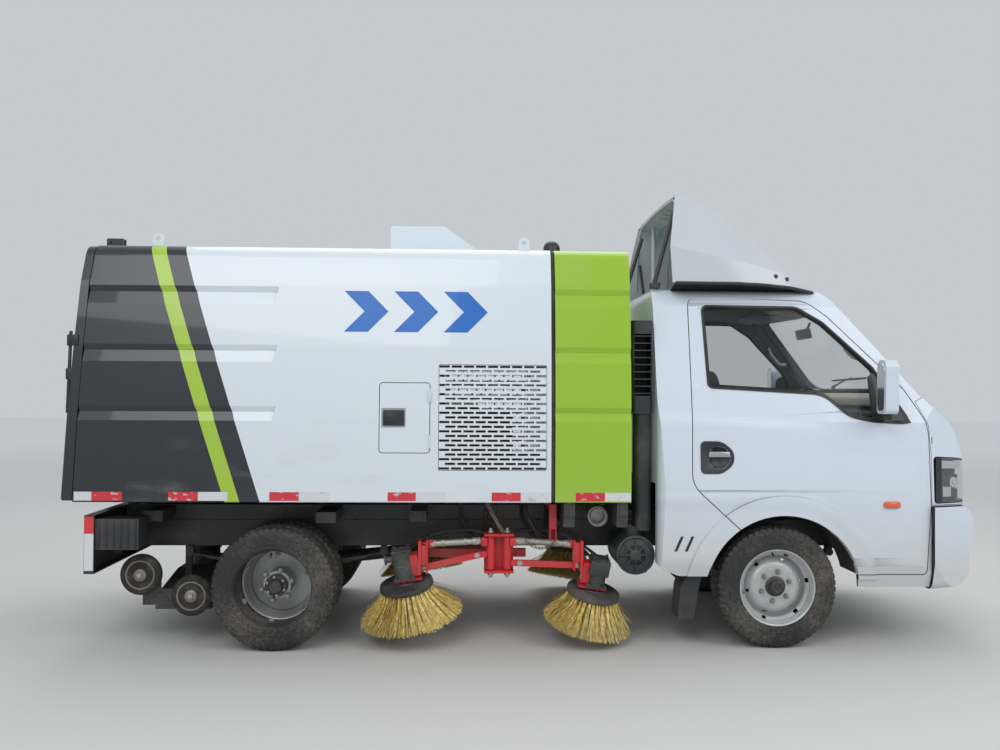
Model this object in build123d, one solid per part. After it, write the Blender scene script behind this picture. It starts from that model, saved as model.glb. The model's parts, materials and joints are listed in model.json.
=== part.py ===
from build123d import *
import os
from math import cos, radians, sin

# A compact street sweeper truck, in millimetres. +X is forward, +Y is its left side, +Z is up.
# The origin is on the ground below the middle of the truck.

os.makedirs("parts", exist_ok=True)

# Driving sizes
wheelbase = 2760
front_axle_x = 1350
rear_axle_x = front_axle_x - wheelbase
tyre_radius = 335
tyre_width = 190
rim_radius = 207
front_track_y = 738
twin_outer_y = 768
twin_inner_y = 548
rail_y = 375
rail_bottom_z = 500
rail_top_z = 650

cab_rear_x = 680
cab_half_width = 866
cab_wall = 38
cab_roof_z = 2030
door_gap = 5
arch_x = 1378
arch_z = 305
arch_radius = 432

box_front_x = 88
box_bottom_z = 808
box_wall = 26
tank_rear_x = 110
tank_front_x = 524
tip_hinge_x = -2430
tip_hinge_z = 786


# Shared shape helpers
def face(rows):
    """A closed outline from rows of two coordinates and a corner radius."""
    points = [row[:2] for row in rows]
    corners = [row[2] for row in rows]
    return make_face(FilletPolyline(*points, radius=corners, close=True))


def mirrored(rows):
    """Rows of half an outline at +Y, from bottom to top, completed across the middle."""
    other = [(-y, z, r) for y, z, r in reversed(rows) if y > 0]
    return rows + other


def along_y(flat, y0, y1):
    """A side view outline in X and Z, from y0 to y1."""
    return extrude(Plane((0, y1, 0), x_dir=(1, 0, 0), z_dir=(0, -1, 0)) * flat, amount=y1 - y0)


def along_x(flat, x0, x1):
    """A rear view outline in Y and Z, from x0 to x1."""
    return extrude(Plane((x0, 0, 0), x_dir=(0, 1, 0), z_dir=(1, 0, 0)) * flat, amount=x1 - x0)


def along_z(flat, z0, z1):
    """A plan outline in X and Y, from z0 to z1."""
    return extrude(Plane.XY.offset(z0) * flat, amount=z1 - z0)


def block(x0, x1, y0, y1, z0, z1):
    """A plain box between two corners."""
    middle = ((x0 + x1) / 2, (y0 + y1) / 2, (z0 + z1) / 2)
    return Pos(*middle) * Box(x1 - x0, y1 - y0, z1 - z0)


def rod(start, end, radius):
    """A round bar from one point to another."""
    line = Vector(*end) - Vector(*start)
    plane = Plane(origin=start, z_dir=line)
    return extrude(plane * Circle(radius), amount=line.length)


def bar(start, end, width, height):
    """A flat bar from one point to another, its width level."""
    line = Vector(*end) - Vector(*start)
    level = Vector(0, 0, 1).cross(line)
    plane = Plane(origin=start, x_dir=level, z_dir=line)
    return extrude(plane * Rectangle(width, height), amount=line.length)


def turned(rows, x, y, z, side):
    """A body of revolution about the Y axis, from rows of reach and radius."""
    points = [(side * reach, radius) for reach, radius in rows]
    flat = make_face(Polyline(*points, close=True))
    spun = revolve(Plane((0, 0, 0), x_dir=(0, 1, 0), z_dir=(1, 0, 0)) * flat, axis=Axis.Y)
    return Pos(x, y, z) * spun


def both_sides(shape):
    """A shape and its mirror image across the middle of the truck."""
    return shape + mirror(shape, about=Plane.XZ)


def save(name, *shapes):
    """Write one node as one STEP file."""
    solids = [solid for shape in shapes for solid in shape.solids()]
    export_step(Compound(label=name, children=solids), f"parts/{name}.step")


# Ladder frame: two open channels and their cross members
rail_front_x = 2330
rail_rear_x = -2345
rail_thick = 7
flange = 62
channel = face(
    [
        (rail_y + 25, rail_bottom_z, 0),
        (rail_y + 25, rail_top_z, 0),
        (rail_y + 25 - flange, rail_top_z, 0),
        (rail_y + 25 - flange, rail_top_z - rail_thick, 0),
        (rail_y + 25 - rail_thick, rail_top_z - rail_thick, 0),
        (rail_y + 25 - rail_thick, rail_bottom_z + rail_thick, 0),
        (rail_y + 25 - flange, rail_bottom_z + rail_thick, 0),
        (rail_y + 25 - flange, rail_bottom_z, 0),
    ]
)
frame = both_sides(along_x(channel, rail_rear_x, rail_front_x))
# Columns: x, bottom, top
cross_members = [
    (-2312, 510, 640),
    (-1740, 540, 640),
    (-1000, 520, 640),
    (-420, 520, 640),
    (180, 560, 640),
    (560, 590, 640),
    (1790, 510, 560),
    (2290, 510, 640),
]
for x, bottom, top in cross_members:
    reach = rail_y + 25 - rail_thick
    member = block(x - 30, x + 30, -reach, reach, bottom, top)
    member -= block(x - 23, x + 40, -reach, reach, bottom + 7, top - 7)
    frame += member
save("chassis_frame", frame)

# Rear axle: tube housing with a round final drive, leaf springs on both sides
leaf_y = 410
axle = turned([(-600, 0), (-600, 46), (600, 46), (600, 0)], rear_axle_x, 0, tyre_radius, 1)
drive_rows = [(-95, 0), (-95, 60), (-55, 135), (55, 135), (95, 60), (95, 0)]
axle += turned(drive_rows, rear_axle_x, 0, tyre_radius, 1)
axle += rod((rear_axle_x, 0, tyre_radius), (rear_axle_x + 190, 0, tyre_radius + 20), 55)


def leaf_pack(x, y, z, half_length, eye_z, leaves, width):
    """A stack of curved leaves with an eye at both ends."""
    rise = eye_z - z
    radius = (half_length**2 + rise**2) / (2 * rise)
    pack = None
    for index in range(leaves):
        reach = half_length * (1 - 0.17 * index)
        low = radius + 9 * (index + 1)
        high = radius + 9 * index + 0.2
        ring = Circle(low) - Circle(high)
        window = Pos(0, -radius) * Rectangle(2 * reach, 2 * radius)
        leaf = along_y(Pos(x, z + radius) * (ring & window), y - width / 2, y + width / 2)
        pack = leaf if pack is None else pack + leaf
    for side in (-1, 1):
        eye = rod((x + side * half_length, y - 28, eye_z), (x + side * half_length, y + 28, eye_z), 22)
        pack += eye
        end = x + side * half_length
        pack += block(end - 18, end + 18, y - 20, y + 20, eye_z, rail_bottom_z - 0.3)
    return pack


rear_leaf_z = tyre_radius + 78
springs = leaf_pack(rear_axle_x, leaf_y, rear_leaf_z, 560, rear_leaf_z + 55, 4, 50)
seat = block(rear_axle_x - 60, rear_axle_x + 60, leaf_y - 27, leaf_y + 27, tyre_radius - 60, rear_leaf_z - 20)
clamp = both_sides(springs + seat)
save("rear_axle", axle + clamp)

# Front axle: dropped beam between the steering knuckles, with its leaf springs
kingpin_y = 600
beam_rows = [
    (-kingpin_y + 32, tyre_radius - 38, 0),
    (-430, tyre_radius - 70, 30),
    (430, tyre_radius - 70, 30),
    (kingpin_y - 32, tyre_radius - 38, 0),
    (kingpin_y - 32, tyre_radius + 45, 0),
    (400, tyre_radius + 5, 30),
    (-400, tyre_radius + 5, 30),
    (-kingpin_y + 32, tyre_radius + 45, 0),
]
beam = along_x(face(beam_rows), front_axle_x - 35, front_axle_x + 35)
front_leaf_z = tyre_radius + 62
front_springs = leaf_pack(front_axle_x, leaf_y, front_leaf_z, 440, front_leaf_z + 70, 3, 50)
front_seat = block(
    front_axle_x - 55,
    front_axle_x + 55,
    leaf_y - 27,
    leaf_y + 27,
    tyre_radius,
    front_leaf_z - 15,
)
save("front_axle", beam + both_sides(front_springs + front_seat))

# Engine, gearbox and propeller shaft
engine_z = (440, 880)
save("engine_block", block(900, 1560, -230, 230, *engine_z))
gearbox = rod((894, 0, 560), (610, 0, 548), 108)
shaft = rod((612, 0, 548), (rear_axle_x + 193, 0, tyre_radius + 22), 38)
save("propshaft", gearbox + shaft)

# Wheels: tyres, rims with their discs, knuckles. Rows are reach outward and radius.
half = tyre_width / 2
tyre_rows = [
    (-half + 18, rim_radius - 2),
    (-half, rim_radius + 28),
    (-half - 2, tyre_radius - 60),
    (-half + 22, tyre_radius),
    (half - 22, tyre_radius),
    (half + 2, tyre_radius - 60),
    (half, rim_radius + 28),
    (half - 18, rim_radius - 2),
]
rim_profile = [
    (-half + 17, rim_radius - 2.5),
    (half - 17, rim_radius - 2.5),
    (half - 10, rim_radius + 4),
    (half - 6, rim_radius - 8),
    (30, rim_radius - 34),
    (-30, rim_radius - 34),
    (-half + 6, rim_radius - 8),
    (-half + 10, rim_radius + 4),
]
front_disc = [(44, 60), (44, 118), (-4, 172), (-4, rim_radius - 32), (-14, rim_radius - 32), (34, 112), (34, 60)]
front_hub = [(-60, 0), (-60, 52), (33, 52), (33, 60), (44, 60), (44, 46), (92, 46), (100, 36), (100, 0)]
rear_disc = [(-38, 60), (-38, 132), (6, 168), (6, 176), (-4, 176), (-48, 136), (-48, 60)]
rear_hub = [(-160, 0), (-160, 60), (-38, 60), (-38, 50), (28, 50), (34, 40), (34, 0)]
hand_holes = 6


def wheel_disc(rows, x, y, side, hole_radius):
    """A pressed wheel disc with its hand holes."""
    disc = turned(rows, x, y, tyre_radius, side)
    for index in range(hand_holes):
        angle = radians(360 / hand_holes * index)
        cx = x + hole_radius * cos(angle)
        cz = tyre_radius + hole_radius * sin(angle)
        disc -= rod((cx, y - 150, cz), (cx, y + 150, cz), 17)
    return disc


for word, side in (("right", -1), ("left", 1)):
    wheel_y = side * front_track_y
    save(f"front_tyre_{word}", turned(tyre_rows, front_axle_x, wheel_y, tyre_radius, side))
    rim = turned(rim_profile, front_axle_x, wheel_y, tyre_radius, side)
    rim += wheel_disc(front_disc, front_axle_x, wheel_y, side, 148)
    rim += turned(front_hub, front_axle_x, wheel_y, tyre_radius, side)
    save(f"front_rim_{word}", rim)
    knuckle = rod(
        (front_axle_x, side * kingpin_y, tyre_radius - 75),
        (front_axle_x, side * kingpin_y, tyre_radius + 75),
        30,
    )
    spindle_end = side * (front_track_y - 62)
    knuckle += rod(
        (front_axle_x, side * kingpin_y, tyre_radius), (front_axle_x, spindle_end, tyre_radius), 34
    )
    arm_start = (front_axle_x, side * kingpin_y, tyre_radius - 66)
    knuckle += bar(arm_start, (front_axle_x - 150, side * (kingpin_y - 40), tyre_radius - 66), 30, 16)
    save(f"knuckle_{word}", knuckle)

    twin_y = (side * twin_inner_y, side * twin_outer_y)
    tyres = [turned(tyre_rows, rear_axle_x, y, tyre_radius, side) for y in twin_y]
    save(f"rear_tyres_{word}", *tyres)
    outer = turned(rim_profile, rear_axle_x, twin_y[1], tyre_radius, side)
    outer += wheel_disc(rear_disc, rear_axle_x, twin_y[1], side, 155)
    outer += turned(rear_hub, rear_axle_x, twin_y[1], tyre_radius, side)
    inner = turned(rim_profile, rear_axle_x, twin_y[0], tyre_radius, side)
    inner += turned(
        [(-10, 60), (-10, 172), (10, 172), (10, 60)], rear_axle_x, twin_y[0], tyre_radius, side
    )
    inner += turned([(-85, 58), (-85, 75), (70, 75), (70, 58)], rear_axle_x, twin_y[0], tyre_radius, side)
    save(f"rear_rims_{word}", outer + inner)

# Cab: three side outlines lofted across the width, trimmed by a rear view and a plan
screen_sweep = 120
# Columns: x, z, corner radius, share of the sweep
cab_side = [
    (cab_rear_x, 335, 0, 0),
    (cab_rear_x, cab_roof_z, 90, 0),
    (1700, cab_roof_z, 260, 1),
    (2256, 1400, 60, 1),
    (2450, 1230, 140, 1),
    (2520, 1030, 200, 1),
    (2530, 335, 0, 1),
]
cab_rear_view = [
    (800, 335, 0),
    (852, 480, 150),
    (cab_half_width, 870, 150),
    (846, 1233, 200),
    (797, 1445, 300),
    (676, 1905, 90),
    (592, 2003, 120),
    (0, cab_roof_z, 1500),
]
cab_plan = [
    (cab_rear_x, -871, 70),
    (2080, -871, 600),
    (2470, -745, 200),
    (2700, -250, 0),
    (2700, 250, 0),
    (2470, 745, 200),
    (2080, 871, 600),
    (cab_rear_x, 871, 70),
]


def lofted_across(rows, reach, inset, plan):
    """Side outlines at both edges and the middle, the edges swept back, lofted together."""
    sections = []
    for y in (-reach, 0, reach):
        back = screen_sweep * (y / reach) ** 2
        flat = face([(x - back * share, z, r) for x, z, r, share in rows])
        if inset:
            flat = offset(flat, -inset, kind=Kind.INTERSECTION)
        plane = Plane((0, y, 0), x_dir=(1, 0, 0), z_dir=(0, -1, 0))
        sections.append(plane * flat)
    trim = face(plan)
    if inset:
        trim = offset(trim, -inset, kind=Kind.INTERSECTION)
    return loft(sections) & along_z(trim, 100, 2200)


def cab_body(inset, bottom=335):
    """The closed outer form of the cab, moved inward by the inset."""
    side = [(x, bottom if z == 335 else z, r, share) for x, z, r, share in cab_side]
    section = face(mirrored([(y, bottom if z == 335 else z, r) for y, z, r in cab_rear_view]))
    if inset:
        section = offset(section, -inset, kind=Kind.INTERSECTION)
    return lofted_across(side, 880, inset, cab_plan) & along_x(section, 600, 2700)


cab_outer = cab_body(0)
cab_inner = cab_body(cab_wall, bottom=200)
floor_rows = [
    (640, 930, 0),
    (1735, 930, 40),
    (1830, 700, 60),
    (2600, 700, 0),
    (2600, 674, 0),
    (1812, 674, 60),
    (1717, 904, 40),
    (640, 904, 0),
]
floor_plate = along_y(face(floor_rows), -900, 900)
skin = cab_outer - cab_inner

# Raised flare round the wheel arch, then the arch opening itself
flare_radius = 540
flare_ring = Pos(arch_x, arch_z) * (Circle(flare_radius) - Circle(arch_radius - 5))
flare_band = cab_body(-10) - cab_body(20)
flare_prism = along_y(flare_ring & Pos(arch_x, 700) * Rectangle(1300, 640), 740, 900)
skin += both_sides(flare_band & flare_prism)
arch_hole = along_y(Pos(arch_x, arch_z) * Circle(arch_radius), 520, 950)
skin -= both_sides(arch_hole)
skin -= block(600, cab_rear_x + 60, -770, 770, 100, 903)
lower_cut = [(600, 300, 0), (600, 560, 0), (705, 440, 60), (800, 400, 60), (990, 400, 0), (990, 300, 0)]
skin -= along_y(face(lower_cut), -950, 950)

# Door outline, window outline and the lines where the nose and bumper begin
door_rows = [
    (868, 902, 150),
    (882, 1955, 60),
    (1555, 1935, 130),
    (1672, 1845, 200),
    (2062, 1440, 200),
    (2190, 1230, 300),
    (2210, 790, 600),
    (2180, 410, 15),
    (1500, 410, 0),
    (1200, 600, 0),
]
window_rows = [
    (966, 1896, 25),
    (1500, 1892, 90),
    (1640, 1806, 150),
    (1898, 1552, 60),
    (2080, 1252, 20),
    (1880, 1262, 150),
    (1752, 1288, 150),
    (1612, 1412, 180),
    (976, 1446, 20),
]
nose_rows = [
    (2219, 792, 0),
    (2214, 1060, 0),
    (2196, 1230, 0),
    (2128, 1366, 0),
    (2180, 1394, 0),
    (2700, 1394, 0),
    (2700, 792, 0),
]
bumper_cut_rows = [(2213, 200, 0), (2213, 786, 0), (2700, 786, 0), (2700, 200, 0)]
lamp_rows = [(2228, 1060, 20), (2560, 1042, 0), (2620, 805, 0), (2236, 800, 20)]

door_face = face(door_rows)
door_prism = along_y(door_face, 640, 950)
door_cut = along_y(offset(door_face, door_gap, kind=Kind.INTERSECTION), 640 - door_gap, 950)
window_prism = along_y(face(window_rows), 640, 950)
nose_prism = along_y(face(nose_rows), -950, 950)
nose_cut = along_y(offset(face(nose_rows), 3, kind=Kind.INTERSECTION), -950, 950)
bumper_cut = along_y(face(bumper_cut_rows), -950, 950)
lamp_prism = both_sides(along_y(face(lamp_rows), 440, 950))
lamp_cut = both_sides(along_y(offset(face(lamp_rows), 2, kind=Kind.INTERSECTION), 438, 950))

screen_face = face(mirrored([(742, 1432, 60), (622, 1905, 60)]))
screen_prism = along_x(screen_face, 1500, 2500)
rear_window_face = face(mirrored([(470, 1370, 60), (440, 1800, 60)]))
rear_window_prism = along_x(rear_window_face, 600, 760)

door = (skin & door_prism) - window_prism
cab_shell = skin - both_sides(door_cut) - nose_cut - bumper_cut - screen_prism - rear_window_prism

# Floor with its front step, and the firewall with the cowl shelf above it
cab_lining = cab_body(cab_wall + 8, bottom=200)
firewall_x = (2150, 2172)
cowl_z = (1400, 1408)
inside_panels = cab_lining & (floor_plate + block(*firewall_x, -780, 780, 690, 1385))
inside_panels += floor_plate & block(700, 800, -760, 760, 890, 940)
inside_panels += block(*firewall_x, -480, 480, 1380, cowl_z[1])
inside_panels += cab_body(cab_wall - 2) & block(firewall_x[0], 2300, -480, 480, *cowl_z)
inside_panels += both_sides(block(1850, 2200, 768, 778, 345, 690) + block(1850, 2200, 768, 800, 345, 380))
inside_panels = inside_panels - bumper_cut - both_sides(arch_hole + block(2090, 2260, 780, 900, 640, 720))
cab_shell += inside_panels
nose = (skin & nose_prism) - lamp_cut
lamps = (cab_body(-2) - cab_body(60)) & lamp_prism
save("cab_shell", cab_shell)
save("front_panel", nose)
save("headlamps", lamps)
save("door_left", door)
save("door_right", mirror(door, about=Plane.XZ))

glass = cab_body(14) - cab_body(19)
save("door_glass_left", glass & window_prism)
save("door_glass_right", mirror(glass & window_prism, about=Plane.XZ))
save("fixed_glass", glass & screen_prism, glass & rear_window_prism)

# Front bumper, open at the back
bumper_side = [
    (2218, 320, 0, 0),
    (2218, 782, 0, 0),
    (2520, 782, 25, 1),
    (2574, 730, 40, 1),
    (2578, 640, 100, 1),
    (2550, 560, 100, 1),
    (2545, 400, 60, 1),
    (2490, 345, 50, 1),
]
bumper_view = [(820, 320, 60), (862, 480, 150), (869, 782, 0)]
bumper_plan = [
    (2100, -873, 0),
    (2180, -873, 300),
    (2540, -745, 220),
    (2760, -250, 0),
    (2760, 250, 0),
    (2540, 745, 220),
    (2180, 873, 300),
    (2100, 873, 0),
]


def bumper_form(inset):
    """The closed form of the bumper; the inner one reaches out at the back."""
    side = [(x if share else x - 3 * inset, z, r, share) for x, z, r, share in bumper_side]
    section = face(bumper_view + [(-y, z, r) for y, z, r in reversed(bumper_view)])
    if inset:
        section = offset(section, -inset, kind=Kind.INTERSECTION)
    return lofted_across(side, 880, inset, bumper_plan) & along_x(section, 2000, 2760)


bumper = bumper_form(0) - bumper_form(24)
grille_mouth = face(mirrored([(380, 440, 40), (420, 600, 40)]))
bumper -= along_x(grille_mouth, 2400, 2700)
save("front_bumper", bumper)

# Inner arch linings with their mud flaps
lining_ring = Pos(arch_x, arch_z) * (Circle(arch_radius + 12) - Circle(arch_radius + 6))
lining = along_y(lining_ring & Pos(arch_x, 655) * Rectangle(1300, 500), 560, 780)
flap_rows = [(958, 470, 0), (925, 330, 60), (895, 150, 10), (808, 150, 10), (822, 330, 60), (900, 470, 0)]
flap = along_y(face(flap_rows), 600, 772)
save("mud_flaps", both_sides(lining + flap))

# Cab inside: dashboard, seats and steering wheel
dash_rows = [
    (2148, 1000, 0),
    (2148, 1330, 20),
    (2010, 1350, 40),
    (1900, 1300, 50),
    (1890, 1180, 40),
    (1990, 1060, 60),
    (2080, 1000, 0),
]
save("dashboard", along_y(face(dash_rows), -740, 740) & cab_inner)

seat_rows = [
    (1000, 934, 30),
    (1590, 934, 40),
    (1600, 1060, 50),
    (1190, 1045, 60),
    (1075, 1560, 50),
    (960, 1560, 50),
    (975, 1100, 100),
]
rest_rows = [(985, 1575, 18), (1060, 1575, 18), (1048, 1740, 28), (965, 1740, 28)]
seats = []
for y0, y1 in ((130, 640), (-640, -40)):
    seats.append(along_y(face(seat_rows), y0, y1))
    seats.append(along_y(face(rest_rows), (y0 + y1) / 2 - 120, (y0 + y1) / 2 + 120))
save("seats", *seats)

column_top = (1745, 385, 1215)
column_foot = (1990, 385, 1035)
column = Vector(*column_top) - Vector(*column_foot)
wheel_plane = Plane(origin=column_top, x_dir=(0, 1, 0), z_dir=column)
grip = make_face(Polyline((181, -6), (187, -13), (203, -13), (209, -6), (209, 6), (203, 13), (187, 13), (181, 6), close=True))
hand_wheel = wheel_plane * (revolve(Plane.XZ * grip, axis=Axis.Z) + Cylinder(42, 40))
for angle in (90, 210, 330):
    spoke = Rot(0, 0, angle) * Pos(115, 0, 0) * Box(160, 34, 12)
    hand_wheel += wheel_plane * spoke
save("steering_wheel", hand_wheel)

# Door mirrors
mirror_rows = [(895, 1298, 30), (1010, 1298, 35), (1017, 1592, 45), (903, 1592, 40)]
mirror_head = along_x(face(mirror_rows), 1875, 1946)
mirror_arm = along_z(face([(1880, 868, 15), (1950, 868, 15), (1936, 960, 15), (1886, 960, 15)]), 1266, 1306)
foot_plate = (cab_body(-8) - cab_body(-1)) & along_y(
    face([(1900, 1530, 10), (2060, 1262, 10), (1872, 1250, 20), (1868, 1500, 20)]), 700, 950
)
mirror_arm += block(1885, 1945, 815, 900, 1266, 1300)
mirror_arm -= cab_body(-2)
mirror_unit = mirror_head + mirror_arm + foot_plate
save("mirror_left", mirror_unit)
save("mirror_right", mirror(mirror_unit, about=Plane.XZ))

# Roof deflector: a thin hood lofted from rear views, open at the back, on two props
# Columns: x, then half width and height of the base, the side crease, the ridge, and the middle height
hood_sections = [
    (740, 735, 2030, 716, 2246, 592, 2556, 2578),
    (1100, 725, 2030, 712, 2168, 575, 2430, 2455),
    (1400, 690, 2020, 672, 2098, 560, 2190, 2222),
    (1640, 600, 1990, 592, 2003, 560, 2012, 2034),
]
hood_rear = [(600, 1900, 0), (782, 1900, 0), (782, 2030, 0), (772, 2234, 0), (828, 2570, 0), (828, 2700, 0), (600, 2700, 0)]


def hood_form(inset):
    """The closed form of the deflector; the inner one reaches out below."""
    sections = []
    for x, base_y, base_z, side_y, side_z, ridge_y, ridge_z, middle_z in hood_sections:
        drop = 60 if inset else 0
        low = (base_y - inset, base_z - drop)
        side = (side_y - inset, side_z - inset / 2)
        ridge = (ridge_y - inset, ridge_z - inset)
        lines = Polyline((-ridge[0], ridge[1]), (-side[0], side[1]), (-low[0], low[1]), low, side, ridge)
        crown = ThreePointArc(ridge, (0, middle_z - inset), (-ridge[0], ridge[1]))
        plane = Plane((x, 0, 0), x_dir=(0, 1, 0), z_dir=(1, 0, 0))
        sections.append(plane * make_face([*lines.edges(), *crown.edges()]))
    return loft(sections)


hood = hood_form(0) - along_y(face(hood_rear), -900, 900)
deflector = hood - (hood_form(8) & block(700, 1600, -900, 900, 1900, 2700)) - cab_body(-4)
for y in (-420, 420):
    deflector += rod((900, y, 2034), (900, y, 2600), 14) & hood
save("roof_deflector", deflector)

# Sweeper body section, from the sill to the crown. Columns: half width, z, corner radius
box_view = [
    (898, box_bottom_z, 8),
    (893, 1250, 600),
    (868, 1640, 600),
    (830, 1985, 200),
    (770, 2200, 90),
    (0, 2236, 1500),
]
groove_depth = 18
groove_undercut = 34
# Columns: middle z, height
grooves = [(1922, 104), (1606, 98), (1284, 84)]


def box_form(inset, x0, x1):
    """The sweeper body section between two planes, moved inward by the inset."""
    section = face(mirrored(box_view))
    if inset:
        section = offset(section, -inset, kind=Kind.INTERSECTION)
    return along_x(section, x0, x1)


def side_y(z):
    """The half width of the body at a height."""
    for (y0, z0, _), (y1, z1, _) in zip(box_view, box_view[1:]):
        if z0 <= z <= z1:
            return y0 + (y1 - y0) * (z - z0) / (z1 - z0)
    return 0


def groove_bands(x0, x1, slant):
    """The undercut recesses along both sides, their front ends slanted back going down."""
    bands = []
    for middle, height in grooves:
        top = middle + height / 2
        bottom = middle - height / 2
        deep = top - groove_undercut
        rows = [
            (side_y(top) + 1, top, 0),
            (side_y(deep) - groove_depth, deep, 0),
            (side_y(bottom) + 1, bottom, 0),
            (960, bottom, 0),
            (960, top, 0),
        ]
        end = [(x0 - 5, bottom - 5, 0), (x0 - 5, top + 5, 0), (x1, top + 5, 0), (x1 - slant, bottom - 5, 0)]
        bands.append(along_x(face(rows), x0 - 5, x1 + 5) & along_y(face(end), 700, 980))
    return [both_sides(band) for band in bands]


rear_slope = [(-2700, 700, 0), (-2460, 700, 0), (-2460, 808, 0), (-2394, 2300, 0), (-2700, 2300, 0)]
bulkhead_x = -700
hopper = box_form(0, -2520, box_front_x) - box_form(box_wall, -2600, box_front_x - box_wall)
hopper -= block(-2600, box_front_x - box_wall, -860, 860, 700, 850)
hopper -= along_y(face(rear_slope), -950, 950)
for band in groove_bands(-2520, -1391, 30):
    hopper -= band
outlet_rows = [(-830, 2215, 0), (-830, 2392, 12), (-509, 2392, 12), (-285, 2232, 0), (-285, 2215, 0)]
outlet = along_y(face(outlet_rows), -350, 350) - box_form(box_wall + 1, -900, -200)
hopper += outlet
gate_hinge = (-2432, 2262)
for y in (-470, -430, 430, 470):
    lug = block(gate_hinge[0] - 16, gate_hinge[0] + 75, y - 6, y + 6, 2236, gate_hinge[1] + 16)
    lug += block(gate_hinge[0] + 40, gate_hinge[0] + 75, y - 6, y + 6, 2200, 2240)
    hopper += lug - rod((gate_hinge[0], y - 8, gate_hinge[1]), (gate_hinge[0], y + 8, gate_hinge[1]), 9.6)

# Lifting eyes on the shoulders of the roof
eye_places = [-2083, -55]
eye_y = 700
eye_z = 2244
eye_hole = 14
eyes = []
for x in eye_places:
    eye = rod((x, eye_y - 8, eye_z), (x, eye_y + 8, eye_z), 31)
    eye += block(x - 31, x + 31, eye_y - 8, eye_y + 8, 2190, eye_z)
    eye -= rod((x, eye_y - 20, eye_z), (x, eye_y + 20, eye_z), eye_hole)
    eyes.append(both_sides(eye - box_form(0, x - 50, x + 50)))

# Service flap and side grille openings
hatch_rows = [(-840, 1077, 16), (-840, 1451, 16), (-572, 1451, 16), (-572, 1077, 16)]
grille_rows = [(-524, 981, 10), (-524, 1554, 10), (64, 1554, 10), (64, 981, 10)]
flap_face = face(hatch_rows)
hopper -= both_sides(along_y(offset(flap_face, 4, kind=Kind.INTERSECTION), 780, 950))
hopper -= both_sides(along_y(face(grille_rows), 780, 950))

# The skin is welded from two sides, a front wall and a roof with its shoulders
weld_z = 2000
weld_x = box_front_x - box_wall
side_panels = hopper & both_sides(block(-2600, weld_x, 100, 950, 700, weld_z))
roof_panel = hopper & block(-2600, weld_x, -950, 950, weld_z, 2450)
front_wall = hopper & block(weld_x, 100, -950, 950, 700, 2450)
save("hopper_shell", side_panels, roof_panel, front_wall, *eyes)

panel = box_form(0, -850, -560) - box_form(18, -860, -550)
flap_panel = panel & along_y(flap_face, 780, 950)
latch_z = (1211, 1316)
flap_panel -= block(-830, -700, 878, 950, *latch_z)
flap_panel += block(-800, -730, 870, 886, latch_z[0] + 35, latch_z[1] - 35)
save("service_flap_left", flap_panel)
save("service_flap_right", mirror(flap_panel, about=Plane.XZ))

# Side grille: rows of short slots, each second row shifted by half a pitch
slot_rows = 23
slot_length = 55
slot_height = 12.5
slot_pitch = 65.5
row_pitch = 25
slot_places = []
for row in range(slot_rows):
    count = 9 if row % 2 == 0 else 8
    z = (981 + 1554) / 2 + (row - (slot_rows - 1) / 2) * row_pitch
    for index in range(count):
        x = (64 - 524) / 2 + (index - (count - 1) / 2) * slot_pitch
        slot_places.append((x, z))
slots = [Pos(x, z) * Rectangle(slot_length, slot_height) for x, z in slot_places]
grille_face = face([(-521, 984, 8), (-521, 1551, 8), (61, 1551, 8), (61, 984, 8)])
slotted = grille_face - slots
grille_skin = box_form(2, -530, 70) - box_form(6, -540, 80)
save("side_grilles", both_sides(grille_skin & along_y(slotted, 780, 950)))

# Hopper floor on two long beams, with the bulkhead and the hinge lugs under it
beam_y = (298, 342)
beam_z = (746, 846)
floor_line = [(-2444, 848, 0), (-720, 1010, 0), (-720, 1018, 0), (-2444, 856, 0)]
hopper_floor = box_form(box_wall + 0.5, -2600, -600) & along_y(face(floor_line), -900, 900)
hopper_floor += box_form(box_wall + 0.5, bulkhead_x - 20, bulkhead_x - 12) & block(-800, -600, -900, 900, 1005, 2400)
long_beam = block(tip_hinge_x, 40, *beam_y, *beam_z)
long_beam += along_y(Pos(tip_hinge_x, tip_hinge_z) * Circle(40), *beam_y)
long_beam += block(tip_hinge_x - 20, tip_hinge_x, *beam_y, 800, 846)
wedge_rows = [(-2440, 840, 0), (-720, 840, 0), (-720, 1012, 0), (-2440, 850, 0)]
wedge = along_y(face(wedge_rows), beam_y[0] + 18, beam_y[1] - 18)
hinge_pin = rod((tip_hinge_x, beam_y[0], tip_hinge_z), (tip_hinge_x, 392, tip_hinge_z), 18)
hopper_floor += both_sides(long_beam + wedge + hinge_pin)
cross_x = -1790
hopper_floor += block(cross_x - 25, cross_x + 25, -298, 298, 790, 846)
hopper_floor += both_sides(block(cross_x - 25, cross_x + 25, 34, 46, 735, 800))
for x in (-2300, -1300, -60):
    hopper_floor += both_sides(block(x - 20, x + 20, 342, 859.5, 812, 842))
inlet = (-2000, 0)
hopper_floor -= Pos(inlet[0], inlet[1], 900) * Cylinder(92, 300)
inlet_ring = Pos(inlet[0], inlet[1], 866) * (Cylinder(100, 48) - Cylinder(92, 60))
hopper_floor += inlet_ring
save("hopper_floor", hopper_floor)

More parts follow.
